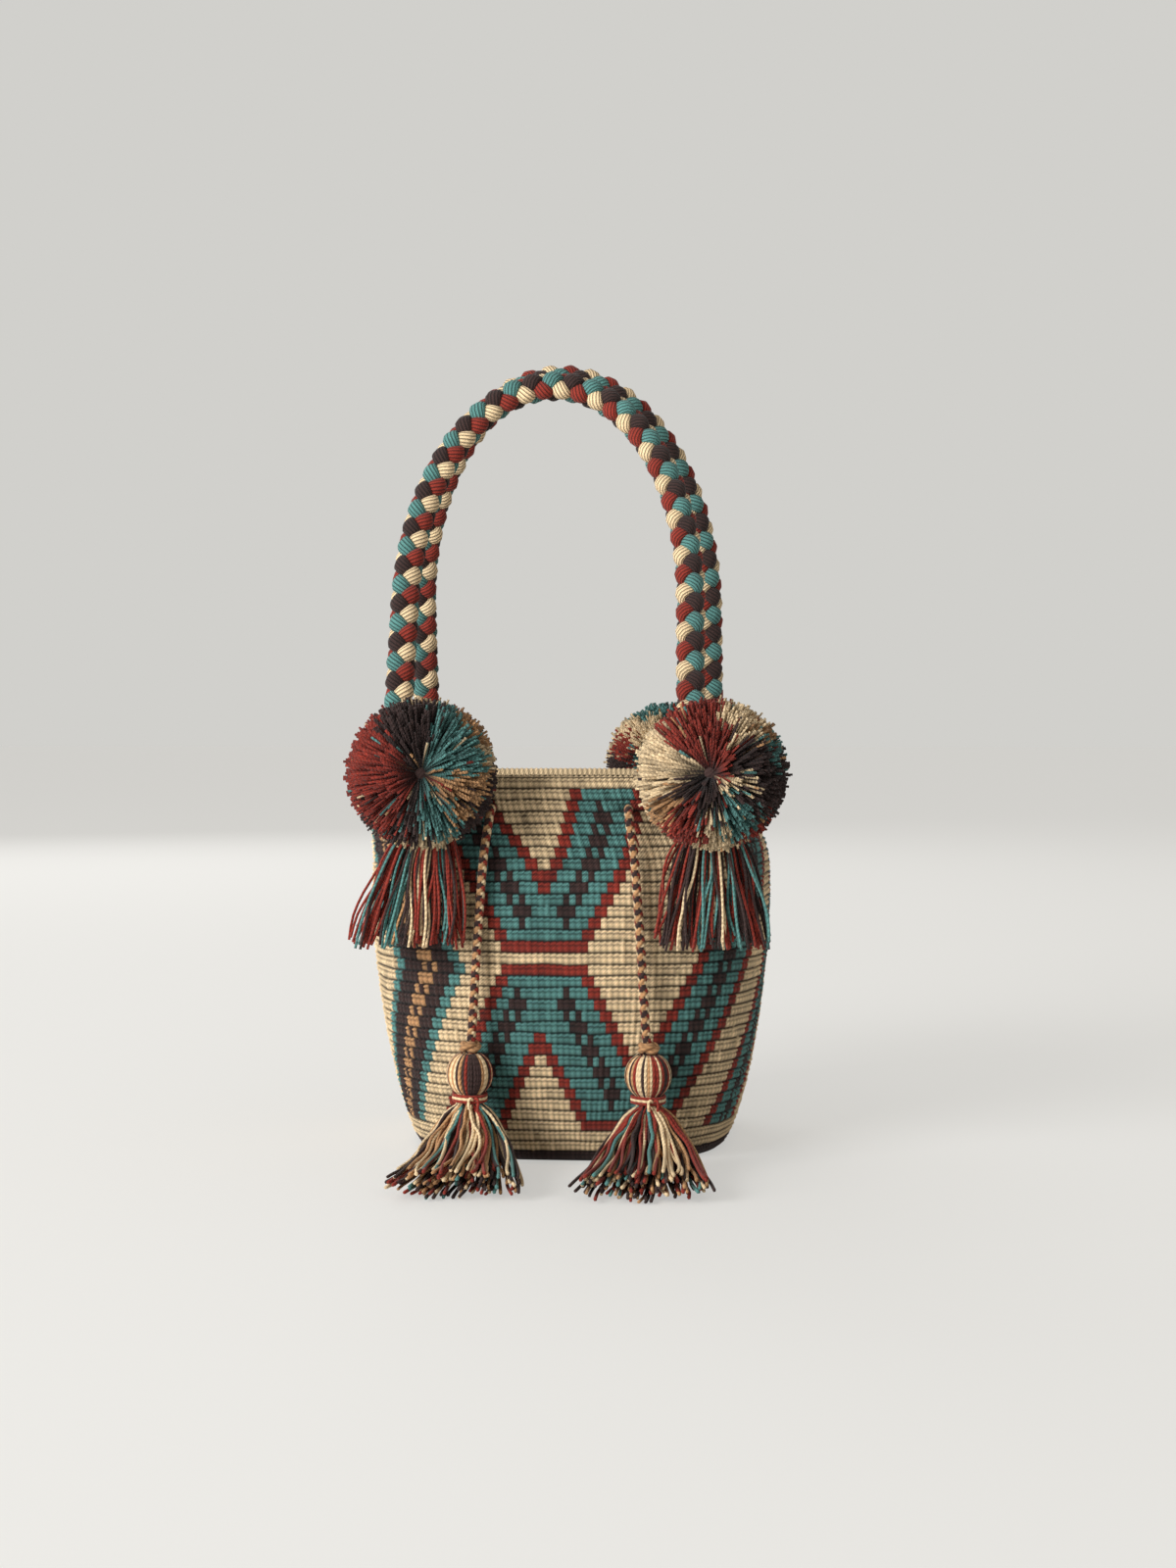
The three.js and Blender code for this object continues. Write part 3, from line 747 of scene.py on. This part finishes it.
def arch_line(face, count):
    """The handle's middle line and the two directions across it: forward and outward."""
    foot_x, foot_y = foot_place(face)
    rise = np.linspace(0, 1, 60)[:-1]
    left = np.stack([-(foot_x - rise * 0.9), LEG_HEIGHT * rise], -1)
    turn = np.linspace(0, math.pi, 200)
    half, crown = foot_x - 1, HANDLE_RISE[face] - LEG_HEIGHT
    arch = np.stack([-half * np.cos(turn), LEG_HEIGHT + crown * np.sin(turn)], -1)
    flat = np.concatenate([left, arch, (left * [-1, 1])[::-1]])
    flat = even_line(np.column_stack([flat[:, 0], flat[:, 0] * 0, flat[:, 1]]), count)
    tilt = face * math.radians(HANDLE_LEAN[face])
    cos, sin = math.cos(tilt), math.sin(tilt)
    turned = np.array([[1, 0, 0], [0, cos, -sin], [0, sin, cos]])
    line = flat @ turned.T + [MOUTH_SHIFT, face * foot_y, HINGE_HEIGHT]
    forward = turned @ np.array([0, -1.0, 0])
    along = unit(np.gradient(line, axis=0))
    outward = np.cross(forward, along)
    return line, np.broadcast_to(forward, line.shape), unit(outward)


# Four strands: the yarn, which way round it goes and where it starts, in turns of its helix.
# Brown and teal ride over on the outer front column and the one across from it, cream and red
# on the other two.
BRAID_STRANDS = [(BROWN, 1, 0.125), (TEAL, 1, 0.625), (CREAM, -1, 0.375), (RED, -1, 0.875)]


def make_handle(name, face, start):
    line, forward, outward = arch_line(face, HANDLE_STEPS)
    length = run_along(line)[-1]
    pitch = 2 * length / round(length / BEAD_LENGTH)
    s = np.linspace(0, length, HANDLE_STEPS)
    braid = Skein()
    for yarn, way, phase in BRAID_STRANDS:
        helix = (s / pitch + phase + start) * 2 * math.pi
        # twice a turn the strand rides over, where it runs straighter, higher and fuller
        over = 2 * (helix - math.pi / 4)
        turn = way * (helix - 0.2 * np.sin(over)) - 0.25 * np.sin(math.pi * s / length)
        ray = forward * np.cos(turn)[:, None] + outward * np.sin(turn)[:, None]
        middle = line + ray * (STRAND_REACH + STRAND_WEAVE * np.cos(over))[:, None]
        full = 0.9 + 0.1 * np.cos(over)
        braid.strand(middle, STRAND_WIDE * full, STRAND_THICK * full, 16, yarn, ray)
    piece = braid.piece(name, BRAID, name.replace("_braid", "_handle_body"), "braid")
    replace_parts(piece, name.replace("_braid", "_handle"))


make_handle("front_braid", -1, 0)
make_handle("back_braid", 1, 0.5)


# The drawstring


def cord_strands(s, turn):
    """Which of four strands shows at a place of a fine round braid, and how high it stands."""
    rise = s / CORD_PITCH * 2 * math.pi
    heights = []
    for way, phase in [(1, 0), (1, math.pi), (-1, math.pi / 2), (-1, -math.pi / 2)]:
        centre = way * rise + phase
        off = (turn - centre + math.pi) % (2 * math.pi) - math.pi
        weave = 0.45 * np.cos(2 * (turn - way * 0.25 * math.pi))
        heights.append(np.cos(np.clip(off * 0.95, -1.5, 1.5)) + weave)
    heights = np.array(heights)
    return heights.argmax(0), heights.max(0)


def make_cord(name, line):
    """A fine round braid as a tube whose surface follows its strands."""
    line = even_line(line, int(run_along(line)[-1] / CORD_STEP))
    tangent = unit(np.gradient(line, axis=0))
    out = np.zeros_like(line)
    out[0] = unit(np.cross(tangent[0], [0.3, 0.2, 0.9]))
    for n in range(1, len(line)):
        out[n] = unit(out[n - 1] - (out[n - 1] @ tangent[n]) * tangent[n])
    side = np.cross(tangent, out)
    turn = ring_turns(CORD_SIDES)
    s = run_along(line)
    which, height = cord_strands(s[:, None], turn[None])
    radius = CORD_RADIUS * (0.8 + 0.17 * np.clip(height, 0, 1.45))
    points = line[:, None] + radius[..., None] * (
        side[:, None] * np.cos(turn)[None, :, None] + out[:, None] * np.sin(turn)[None, :, None]
    )
    # painted shade where a strand lies below its neighbours
    lift = np.clip((height - 0.55) / 0.7, 0, 1)
    quads, discs, corners = tube(points, s, lift, 2 * math.pi * CORD_RADIUS)
    corners = np.concatenate([corners.reshape(-1, 3), disc_corners(discs)])
    yarn = np.array([CREAM, RED, BROWN, TAN])[which][:-1].ravel()
    yarn = np.concatenate([yarn, [CREAM, CREAM]])
    points = points.reshape(-1, 3)
    return make_piece(name, points, [quads, discs], THREAD, yarn, corners, "bag")


def held_line():
    """The held run: in at the right front slit, round the back and out at the left front slit."""
    inside, outside = -(WALL + CORD_RADIUS + 1.5), CORD_RADIUS + 1.5
    stops = [(SLITS[0], -WALL)]
    for n in range(len(SLITS) - 1):
        start, end = SLITS[n] + SLIT_ROOM, SLITS[n + 1] - SLIT_ROOM
        count = round((end - start) / 9)
        out = outside if n % 2 else inside
        stops += [(start + (end - start) * k / count, out) for k in range(count + 1)]
        stops.append((SLITS[n + 1], -WALL / 2))
    stops[-1] = (SLITS[-1], -WALL)
    turns, outs = np.radians([a for a, _ in stops]), np.array([o for _, o in stops], float)
    return smooth_line(wall_place(turns, SLIT_HEIGHT, outs)[0], 600)


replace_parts(make_cord("drawstring_run", held_line()), "drawstring_loop")


# The tassels


def pick_yarn(weights):
    return int(rng.choice(5, p=np.array(weights) / sum(weights)))


def make_knot(name, x):
    """An overhand knot of the cord, drawn as a cord wound into a trefoil."""
    turn = np.linspace(0, 2 * math.pi, 90)
    reach = KNOT_REACH + 1.0 * np.cos(3 * turn)
    rise = KNOT_HEIGHT + 1.3 * np.sin(3 * turn)
    line = np.stack([x + reach * np.cos(2 * turn), TASSEL_Y + reach * np.sin(2 * turn), rise], -1)
    knot = Skein()
    knot.strand(line, KNOT_YARN, KNOT_YARN, 10, TAN, [0, 0, 1], lobes=4, lobe_depth=0.2)
    return knot.piece(name, THREAD, "bag", "tie")


def make_head(name, x):
    """The head: threads laid side by side from the knot down over a ball to the neck."""
    head = Skein()
    middle = HEAD_TOP - HEAD_HEIGHT / 2
    down = np.linspace(0.12, 0.93, 14) * math.pi
    for n in range(HEAD_THREADS):
        turn = (n + rng.uniform(-0.25, 0.25)) / HEAD_THREADS * 2 * math.pi
        reach = (HEAD_RADIUS - 1.4) * np.sin(down) ** 0.8
        reach = np.maximum(reach, np.where(down > math.pi / 2, NECK_RADIUS - 1.2, 1.2))
        z = middle + (HEAD_HEIGHT / 2 - 0.3) * np.cos(down)
        line = np.stack([x + reach * np.cos(turn), TASSEL_Y + reach * np.sin(turn), z], -1)
        facing = np.array([math.cos(turn), math.sin(turn), 0.0])
        head.strand(line, 1.05, 1.2, 8, pick_yarn(HEAD_WEIGHTS), facing + [0, 0, 0.01])
    return head.piece(name, THREAD, "bag", "tassel")


def make_neck_tie(name, x):
    """Turns of thread round the neck, with its two ends at the front."""
    tie = Skein()
    for yarn, low in NECK_TURNS:
        turn = np.linspace(0, 2 * math.pi, 48)
        aside, forward = TIE_RADIUS * np.cos(turn), TIE_RADIUS * np.sin(turn)
        ring = np.stack([x + aside, TASSEL_Y + forward, low + 0.2 * np.sin(2 * turn)], -1)
        tie.strand(ring, TIE_YARN, TIE_YARN, 8, yarn, [0, 0, 1])
    thread_end = [(0.3, -8.4, 37.4), (1.6, -9.6, 38.4), (2.4, -9.8, 36.8), (2.2, -10.4, 33)]
    for side, yarn in [(-1, CREAM), (1, RED)]:
        stops = [(x + 3 + side * aside, TASSEL_Y + y, z) for aside, y, z in thread_end]
        tie.strand(smooth_line(stops, 12), 0.7, 0.7, 8, yarn, [0.2, -1, 0.1])
    return tie.piece(name, THREAD, "bag", "tie")


def make_skirt(name, x):
    """The loose threads below the neck, fanned out over the floor."""
    skirt = Skein()
    stations = np.array(SKIRT_STATIONS, float)
    forward, height, tilt, half_width, half_depth = (stations[:, n] for n in range(5))
    tilt = np.radians(tilt)
    across = np.stack([tilt * 0, -np.cos(tilt), np.sin(tilt)], -1)
    for n in range(SKIRT_THREADS):
        reach = math.sqrt((n + 0.5) / SKIRT_THREADS) * 0.93
        turn = n * GOLDEN_TURN
        p, q = reach * math.cos(turn), reach * math.sin(turn)
        wander = rng.normal(0, 0.05, (len(stations), 2)).cumsum(0) * [1, 0.6]
        wander[:2] *= 0.2
        place = np.array([p, q]) + wander
        place /= np.maximum(1, np.linalg.norm(place, axis=1) / 0.96)[:, None]
        line = np.stack([forward * 0, forward, height], -1) + [x, TASSEL_Y, 0]
        line = line + (place[:, 0] * half_width)[:, None] * [1, 0, 0]
        line = line + (place[:, 1] * half_depth)[:, None] * across
        reach_end = rng.uniform(0.86, 1.0) if n % 7 else rng.uniform(0.7, 0.86)
        line = smooth_line(line, 22)[: int(22 * reach_end)]
        radius = rng.uniform(0.78, 1.0)
        line[:, 2] = np.maximum(line[:, 2], radius + 0.2)
        skirt.strand(line, radius, radius, 5, pick_yarn(SKIRT_WEIGHTS), [0.1, 0.2, 1])
    return skirt.piece(name, THREAD, "bag", "tassel")


for hand, side in [("left", -1), ("right", 1)]:
    x = side * TASSEL_X
    trimmings = [
        (make_knot(hand + "_knot", x), hand + "_tassel_knot"),
        (make_head(hand + "_head", x), hand + "_tassel_head"),
        (make_neck_tie(hand + "_neck_thread", x), hand + "_tassel_neck_tie"),
        (make_skirt(hand + "_skirt", x), hand + "_tassel_skirt"),
    ]
    for piece, node in trimmings:
        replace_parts(piece, node)
    route = smooth_line([(side * px, py, pz) for px, py, pz in FREE_ROUTE], 60)
    free_end = make_cord(hand + "_free_end", route)
    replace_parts(free_end, "drawstring_" + hand + "_end")


# Feet, pompoms, ties and fringes


def hinge_point(face, side):
    foot_x, foot_y = foot_place(face)
    return np.array([MOUTH_SHIFT + side * foot_x, face * foot_y, HINGE_HEIGHT])


def pompom_centre(face, side):
    aside = MOUTH_SHIFT + side * POMPOM_SPAN - face * POMPOM_OFFSET
    forward = foot_place(face)[1] + POMPOM_RADIUS - POMPOM_PRESS
    return np.array([aside, face * forward, POMPOM_HEIGHT])


def foot_turn(face, side):
    return math.radians(side * HANDLE_ANGLE[face] if face < 0 else 180 - side * HANDLE_ANGLE[face])


def make_foot(name, face, side):
    """The braid's end: its strands laid flat down the wall and bound with thread."""
    foot = Skein()
    place, count = foot_turn(face, side), len(FOOT_HEIGHTS)
    shares, steps = np.linspace(0, 1, count), np.linspace(0, 1, 20)
    for n, yarn in enumerate(FOOT_YARNS):
        point, normal = wall_place(np.full(count, place), FOOT_HEIGHTS, FOOT_THICK + 0.6)
        across = np.stack([-normal[:, 1], normal[:, 0], normal[:, 2]], -1)
        offset = (n - 2) * FOOT_SPREAD
        line = smooth_line(point + across * offset[:, None], len(steps))
        swell = np.interp(steps, shares, FOOT_THICK)
        foot.strand(line, 2.5, swell * 0.95, 14, yarn, normal[0], lobes=5, lobe_depth=0.15)
    turn = np.linspace(0, 2 * math.pi, 30)
    for n in range(BINDING_TURNS):
        z = BINDING_TOP - n * BINDING_STEP
        middle, normal = wall_place(place, np.array(z), np.array(6.0))
        across = np.array([-normal[1], normal[0], 0])
        line = (
            middle
            + across * (BINDING_WIDE * np.cos(turn))[:, None]
            + normal * (BINDING_DEEP * np.sin(turn))[:, None]
            + [0, 0, 0.3 * math.sin(n * 5)]
        )
        foot.strand(line, 1.1, 1.0, 7, BROWN if n % 2 else RED, [0, 0, 1])
    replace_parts(foot.piece(name + "_bound_foot", THREAD, "bag", "foot"), name + "_foot")


def in_leg_room(points, face, side):
    """True for points in the room that the swinging leg of the handle needs."""
    off = points - hinge_point(face, side)
    inward, up = -face * off[..., 1], off[..., 2]
    angle = np.degrees(np.arctan2(inward, up))
    reach = np.hypot(inward, up)
    span = HANDLE_RADIUS + LEG_ROOM
    slack = np.degrees(np.arctan2(span, np.maximum(reach, 1)))
    lean_now = HANDLE_LEAN[face]
    swept = (angle > lean_now - HANDLE_OUTWARD - slack) & (angle < lean_now + HANDLE_INWARD + slack)
    near = (reach < span) | (swept & (up > -2))
    return (np.abs(off[..., 0]) < span) & near


def in_wall(points):
    """True for points in the body or close to it."""
    x, y, z = points[..., 0] - lean(points[..., 2]), points[..., 1], points[..., 2]
    reach = outer_radius(np.clip(z, 0, BODY_HEIGHT)) * squared(np.arctan2(y, x)) + THREAD_ROOM
    return (np.hypot(x, y) < reach) & (z < BODY_HEIGHT + 4)


def near_cord(points):
    """True for points close to a free end of the drawstring."""
    routes = np.array([smooth_line(FREE_ROUTE, 40) * [side, 1, 1] for side in (-1, 1)])
    off = np.linalg.norm(points[..., None, :] - routes.reshape(-1, 3), axis=-1).min(-1)
    return off < CORD_RADIUS + THREAD_ROOM


# Where the threads of a pompom part, and its colour fields: the way each faces, to the viewer's
# right, towards the viewer and up, then its yarn and, where it isn't 1, how far it reaches.
POMPOM_POLES = {
    "front_left": (0.04, 1.0, 0.06), "front_right": (-0.3, 0.95, 0.2),
    "back_left": (0.2, 1.0, 0.1), "back_right": (0.1, 0.9, 0.3),
}
POMPOM_FIELDS = {
    "front_left": [
        (-0.95, 0.3, 0.15, RED), (-0.75, 0.4, 0.55, RED), (-0.9, 0.4, -0.25, RED),
        (-0.3, 0.5, 0.8, BROWN), (0.08, 0.5, 0.9, BROWN), (0.35, 0.5, 0.8, TEAL, 0.97),
        (0.7, 0.55, 0.5, TEAL), (0.85, 0.1, 0.6, TAN, 0.98), (0.95, 0.1, 0.25, CREAM, 0.98),
        (0.85, 0.55, 0.12, TEAL, 0.98), (0.85, 0.5, -0.22, TAN), (0.95, -0.1, -0.15, BROWN),
        (0.6, 0.55, -0.7, TAN, 0.96), (0.85, 0.2, -0.6, BROWN), (0.32, 0.6, -0.75, TEAL),
        (-0.05, 0.5, -0.85, BROWN), (-0.5, 0.6, -0.65, RED, 0.97), (-0.75, 0.3, -0.6, BROWN, 0.96),
        (0.1, 0.22, -1.0, CREAM, 1.01), (0.2, -0.9, 0.2, BROWN), (-0.6, -0.8, 0.0, CREAM),
        (0.7, -0.7, 0.0, RED), (0.0, -0.3, 0.95, CREAM, 0.98),
    ],
    "front_right": [
        (-0.2, 0.4, 0.9, RED), (0.0, 0.75, 0.6, RED, 1.02), (0.45, 0.35, 0.85, CREAM),
        (-0.45, 0.85, 0.3, RED, 1.02), (-0.5, 0.85, -0.05, BROWN, 1.02),
        (0.05, 0.9, 0.25, RED, 1.02), (0.75, 0.3, 0.65, TAN, 0.97), (0.9, 0.35, 0.35, TEAL, 0.97),
        (0.7, 0.7, 0.15, BROWN, 0.98), (0.95, 0.2, -0.1, BROWN, 1.02), (0.9, 0.1, -0.4, BROWN),
        (-0.9, 0.4, 0.25, CREAM), (-0.6, 0.5, 0.6, RED, 0.97), (-0.9, 0.35, -0.1, CREAM),
        (-0.75, 0.45, -0.45, TAN, 0.97), (-0.6, 0.75, -0.1, BROWN, 0.98), (-0.35, 0.5, -0.75, RED),
        (0.1, 0.6, -0.8, CREAM, 0.97), (0.45, 0.6, -0.6, TEAL), (0.5, 0.85, -0.2, CREAM, 0.94),
        (0.7, 0.6, -0.35, BROWN), (0.6, 0.2, -0.8, RED), (0.1, 0.0, -1.0, CREAM, 1.02),
        (-0.2, 0.85, -0.35, BROWN), (0.0, -0.9, 0.3, TEAL), (-0.6, -0.7, 0.0, RED),
        (0.6, -0.7, -0.2, CREAM),
    ],
    "back_left": [
        (-0.8, 0.5, 0.3, TEAL), (0.1, 0.6, 0.8, CREAM), (0.7, 0.6, 0.2, RED),
        (-0.3, 0.7, -0.6, BROWN), (0.5, 0.7, -0.5, TEAL), (-0.5, -0.8, 0.2, RED),
        (0.5, -0.8, 0.3, CREAM), (0.0, -0.7, -0.7, BROWN), (-0.4, 0.6, 0.7, RED),
        (-0.8, 0.5, -0.3, RED), (0.1, 0.1, -1.0, CREAM),
    ],
    "back_right": [
        (0.5, -0.6, 0.65, CREAM), (0.75, -0.5, 0.35, RED), (0.3, -0.1, 0.95, TEAL),
        (0.85, 0.1, 0.5, CREAM), (0.9, -0.4, -0.1, BROWN), (0.1, 0.6, 0.8, BROWN),
        (-0.5, 0.5, 0.6, RED), (-0.8, 0.4, -0.2, BROWN), (0.3, 0.7, -0.6, RED),
        (0.5, -0.8, 0.0, TEAL, 0.98), (-0.4, -0.8, 0.3, CREAM), (0.1, -0.6, -0.8, BROWN),
        (0.8, 0.4, -0.4, CREAM), (-0.4, 0.6, -0.7, TEAL), (-0.2, 0.95, 0.2, TAN, 0.96),
    ],
}


def make_pompom(name, face, side):
    """Cut yarn bound at its middle. The threads fan out from there on all sides but one, where
    they part round a pole, so that there their lengths show and elsewhere their cut ends."""
    centre = pompom_centre(face, side)
    to_frame = np.array([-face, face, 1])
    fields = POMPOM_FIELDS[name]
    seen = unit(np.array([field[:3] for field in fields])) * to_frame
    sizes = np.array([field[4] if len(field) > 4 else 1.0 for field in fields])
    pole = unit(np.array(POMPOM_POLES[name])) * to_frame
    many = POMPOM_THREADS
    n = np.arange(many) + 0.5
    # evenly over the ball outside a cone about the pole
    height = -1 + (1 + math.cos(math.radians(POMPOM_PARTING))) * n / many
    turn = n * math.pi * (1 + 5**0.5)
    first = unit(np.cross(pole, [0, 0, 1.0]))
    second = np.cross(pole, first)
    flat = np.sqrt(1 - height**2)
    rays = height[:, None] * pole + flat[:, None] * (
        np.cos(turn)[:, None] * first + np.sin(turn)[:, None] * second
    )
    rays = unit(rays + rng.normal(0, 0.045, rays.shape))
    best = (rays @ seen.T * sizes + rng.normal(0, 0.022, (many, len(fields)))).argmax(1)
    yarns = np.array([field[3] for field in fields])[best]
    yarns = np.where(rng.random(many) < POMPOM_STRAYS, rng.integers(0, 5, many), yarns)
    reach = POMPOM_RADIUS * np.clip(rng.normal(0.96, 0.03, many), 0.82, 1.04)
    # near the pole only short loose ends stand up
    open_side = np.clip((height - 0.55) / 0.25, 0, 1)
    reach *= 1 - open_side * rng.uniform(0.3, 0.7, many)
    bend = rng.normal(0, 0.05, (many, 3)) + pole * -0.06
    shares = np.array([0.06, 0.5, 1.0])

    def place(share, length):
        ways = unit(rays[:, None] + bend[:, None] * share[..., None] ** 2)
        return centre + ways * (share * length[:, None])[..., None]

    # what would lie in the leg's room, in the wall or on the cord is cut shorter
    tries = np.broadcast_to(np.linspace(0.2, 1, 9), (many, 9))
    points = place(tries, reach)
    blocked = in_leg_room(points, face, side) | in_wall(points)
    if face < 0:
        blocked |= near_cord(points)
    open_to = np.where(blocked.any(1), blocked.argmax(1) - 1, 8)
    keep = open_to > 1
    share = shares * np.where(keep, tries[0][np.maximum(open_to, 0)], 1)[:, None]
    lines = place(share, reach)[keep]
    width = rng.uniform(0.58, 0.9, (many, 1))[keep] * [0.7, 1.0, 0.95]
    # painted shade: dark at the bound middle, deep at mid length, lighter at the cut ends, and
    # deeper or lighter from thread to thread at random
    shade = rng.uniform(0.5, 1.0, (many, 1))[keep] * [0.0, 0.35, 1.0]
    pompom = Skein()
    pompom.threads(lines, width, 3, yarns[keep], shade)
    # the bound middle, which closes the view between the threads
    down = np.linspace(0.02, 0.98, 12) * math.pi
    core = np.stack([down * 0, down * 0, POMPOM_CORE * np.cos(down)], -1) + centre
    round_core = POMPOM_CORE * np.sin(down)
    pompom.strand(core, round_core, round_core, 16, BROWN, [1, 0.01, 0])
    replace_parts(pompom.piece(name + "_yarn_ball", PILE, "bag", "pompom"), name + "_pompom")


def make_tie(name, face, side):
    """The sewing thread from foot to pompom."""
    start = wall_place(foot_turn(face, side), np.array(187.0), np.array(7.5))[0]
    end = pompom_centre(face, side) * 0.62 + start * 0.38
    tie = Skein()
    s = np.linspace(0, 1, 24)[:, None]
    line = start + (end - start) * s
    for phase in (0, math.pi):
        turn = s * 9 + phase
        coil = np.concatenate([0.6 * np.cos(turn), turn * 0, 0.6 * np.sin(turn)], -1)
        tie.strand(line + coil, 0.8, 0.8, 8, CREAM, [1, 0.1, 0.2])
    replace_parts(tie.piece(name + "_sewing_thread", THREAD, "bag", "tie"), name + "_pompom_tie")


# The fringes' yarns in groups, from one edge to the other, by the letters of C cream, R brick
# red, T teal and B dark brown
FRINGE_GROUPS = {
    "front_left": "RTRRBTTBCRCRRTRR",
    "front_right": "RBRCBRTRBCRTBRRB",
    "back_left": "BRTRRCBTRRBRCTRB",
    "back_right": "RRBTRCRBRTRBCRTR",
}


def make_fringe(name, face, side):
    """Loose threads that hang out of the pompom's underside."""
    middle = side * FRINGE_SPAN + (1 + face) * MOUTH_SHIFT
    centre = pompom_centre(face, side)
    fringe = Skein()
    top = POMPOM_HEIGHT - POMPOM_RADIUS + 10
    groups = ["CRTB".index(letter) for letter in FRINGE_GROUPS[name]]
    for _ in range(FRINGE_THREADS):
        p = rng.uniform(-1, 1)
        q = rng.uniform(-1, 1) * math.sqrt(1 - 0.6 * p * p)
        start = [centre[0] + p * FRINGE_WIDTH * 0.2, centre[1] - face * FRINGE_INSET + q * 6, top]
        end_z = FRINGE_BOTTOM + 1 + abs(rng.normal(0, 4))
        bow = rng.normal(0, 2.0, 2)
        sway = rng.normal(0, 1.2, 2)
        stops = []
        for share in np.linspace(0, 1, 6):
            spread = share**0.8
            x = start[0] + (middle + p * FRINGE_WIDTH * 0.47 - start[0]) * spread
            y = start[1] + q * (FRINGE_DEPTH * 0.42 - 6) * spread
            wave = math.sin(math.pi * share)
            x += bow[0] * wave + sway[0] * math.sin(6 * share)
            stops.append([x, y + bow[1] * wave * 0.5, top + (end_z - top) * share])
        line = smooth_line(stops, 11)
        reach = outer_radius(line[:, 2]) * squared(np.arctan2(line[:, 1], line[:, 0])) + 1.6
        flat = np.hypot(line[:, 0], line[:, 1])
        line[:, :2] *= np.maximum(1, reach / flat)[:, None]
        grouped = rng.random() > FRINGE_STRAYS
        yarn = groups[int((p + 1) / 2 * 15.99)] if grouped else pick_yarn(FRINGE_WEIGHTS)
        fringe.strand(line, FRINGE_YARN, FRINGE_YARN, 6, yarn, [0.1, 1, 0.1])
    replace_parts(fringe.piece(name + "_loose_threads", THREAD, "bag", "fringe"), name + "_fringe")


for end, face in [("front", -1), ("back", 1)]:
    for hand, side in [("left", -1), ("right", 1)]:
        name = end + "_" + hand
        make_foot(name, face, side)
        make_pompom(name, face, side)
        make_tie(name, face, side)
        make_fringe(name, face, side)


# Floor, light and background, in metres and watts

FLOOR_SIZE = 40
# Each lamp's place, size and power
LAMPS = {
    "key": ((-2.2, -2.4, 1.1), 1.8, 128),
    "fill": ((2.0, -1.6, 1.1), 1.6, 2),
    "back": ((-1.2, 2.4, 1.6), 1.8, 24),
}


def background_rays(tree):
    """1 for the rays that show the background: seen straight, in a gloss or through glass."""
    rays = add_node(tree, "ShaderNodeLightPath").outputs
    seen = rays["Is Camera Ray"]
    for more in ("Is Glossy Ray", "Is Transmission Ray"):
        seen = add_node(tree, "ShaderNodeMath", {0: seen, 1: rays[more]}, operation="MAXIMUM")
    return seen


def make_floor():
    """Matt pale paper, plain. Half of what is seen of it is the backdrop's own tone, so that the
    two meet without an edge and the shadow stays soft."""
    material, tree = new_material("matt_paper")
    matt = {"Base Color": linear("#e2e1de"), "Roughness": 0.8}
    paper = add_node(tree, "ShaderNodeBsdfPrincipled", matt)
    tone = add_node(tree, "ShaderNodeEmission", {"Color": linear("#f6f5f1")})
    share = {0: background_rays(tree), 1: 0.5}
    half = add_node(tree, "ShaderNodeMath", share, operation="MULTIPLY")
    shader = add_node(tree, "ShaderNodeMixShader", {0: half, 1: paper, 2: tone})
    add_node(tree, "ShaderNodeOutputMaterial", {"Surface": shader})
    edge = FLOOR_SIZE / 2
    corners = [(-edge, -edge, 0), (edge, -edge, 0), (edge, edge, 0), (-edge, edge, 0)]
    mesh = bpy.data.meshes.new("floor")
    mesh.from_pydata(corners, [], [(0, 1, 2, 3)])
    mesh.materials.append(material)
    add_object("floor", mesh)


def add_softbox(name, place, size, power):
    """A square studio lamp that faces the bag's middle."""
    lamp = bpy.data.lights.new(name, "AREA")
    lamp.size, lamp.energy = size, power
    holder = add_object(name, lamp)
    holder.location = place
    aim = np.array([0, 0, 0.2]) - np.array(place)
    holder.rotation_euler = (
        math.atan2(math.hypot(aim[0], aim[1]), -aim[2]),
        0,
        math.atan2(-aim[0], aim[1]),
    )


def make_light():
    world = bpy.data.worlds.new("studio")
    bpy.context.scene.world = world
    world.use_nodes = True
    tree = world.node_tree
    tree.nodes.clear()
    # what lights the bag, and what is seen behind it
    light, seen = (
        add_node(tree, "ShaderNodeBackground", {"Color": linear(tone), "Strength": strength})
        for tone, strength in [("#f5f1eb", 0.46), ("#d1d0cc", 1)]
    )
    sides = {0: background_rays(tree), 1: light, 2: seen}
    mixed = add_node(tree, "ShaderNodeMixShader", sides)
    add_node(tree, "ShaderNodeOutputWorld", {"Surface": mixed})
    for name, lamp in LAMPS.items():
        add_softbox(name, *lamp)


make_floor()
make_light()
bpy.context.scene.view_settings.view_transform = "Standard"
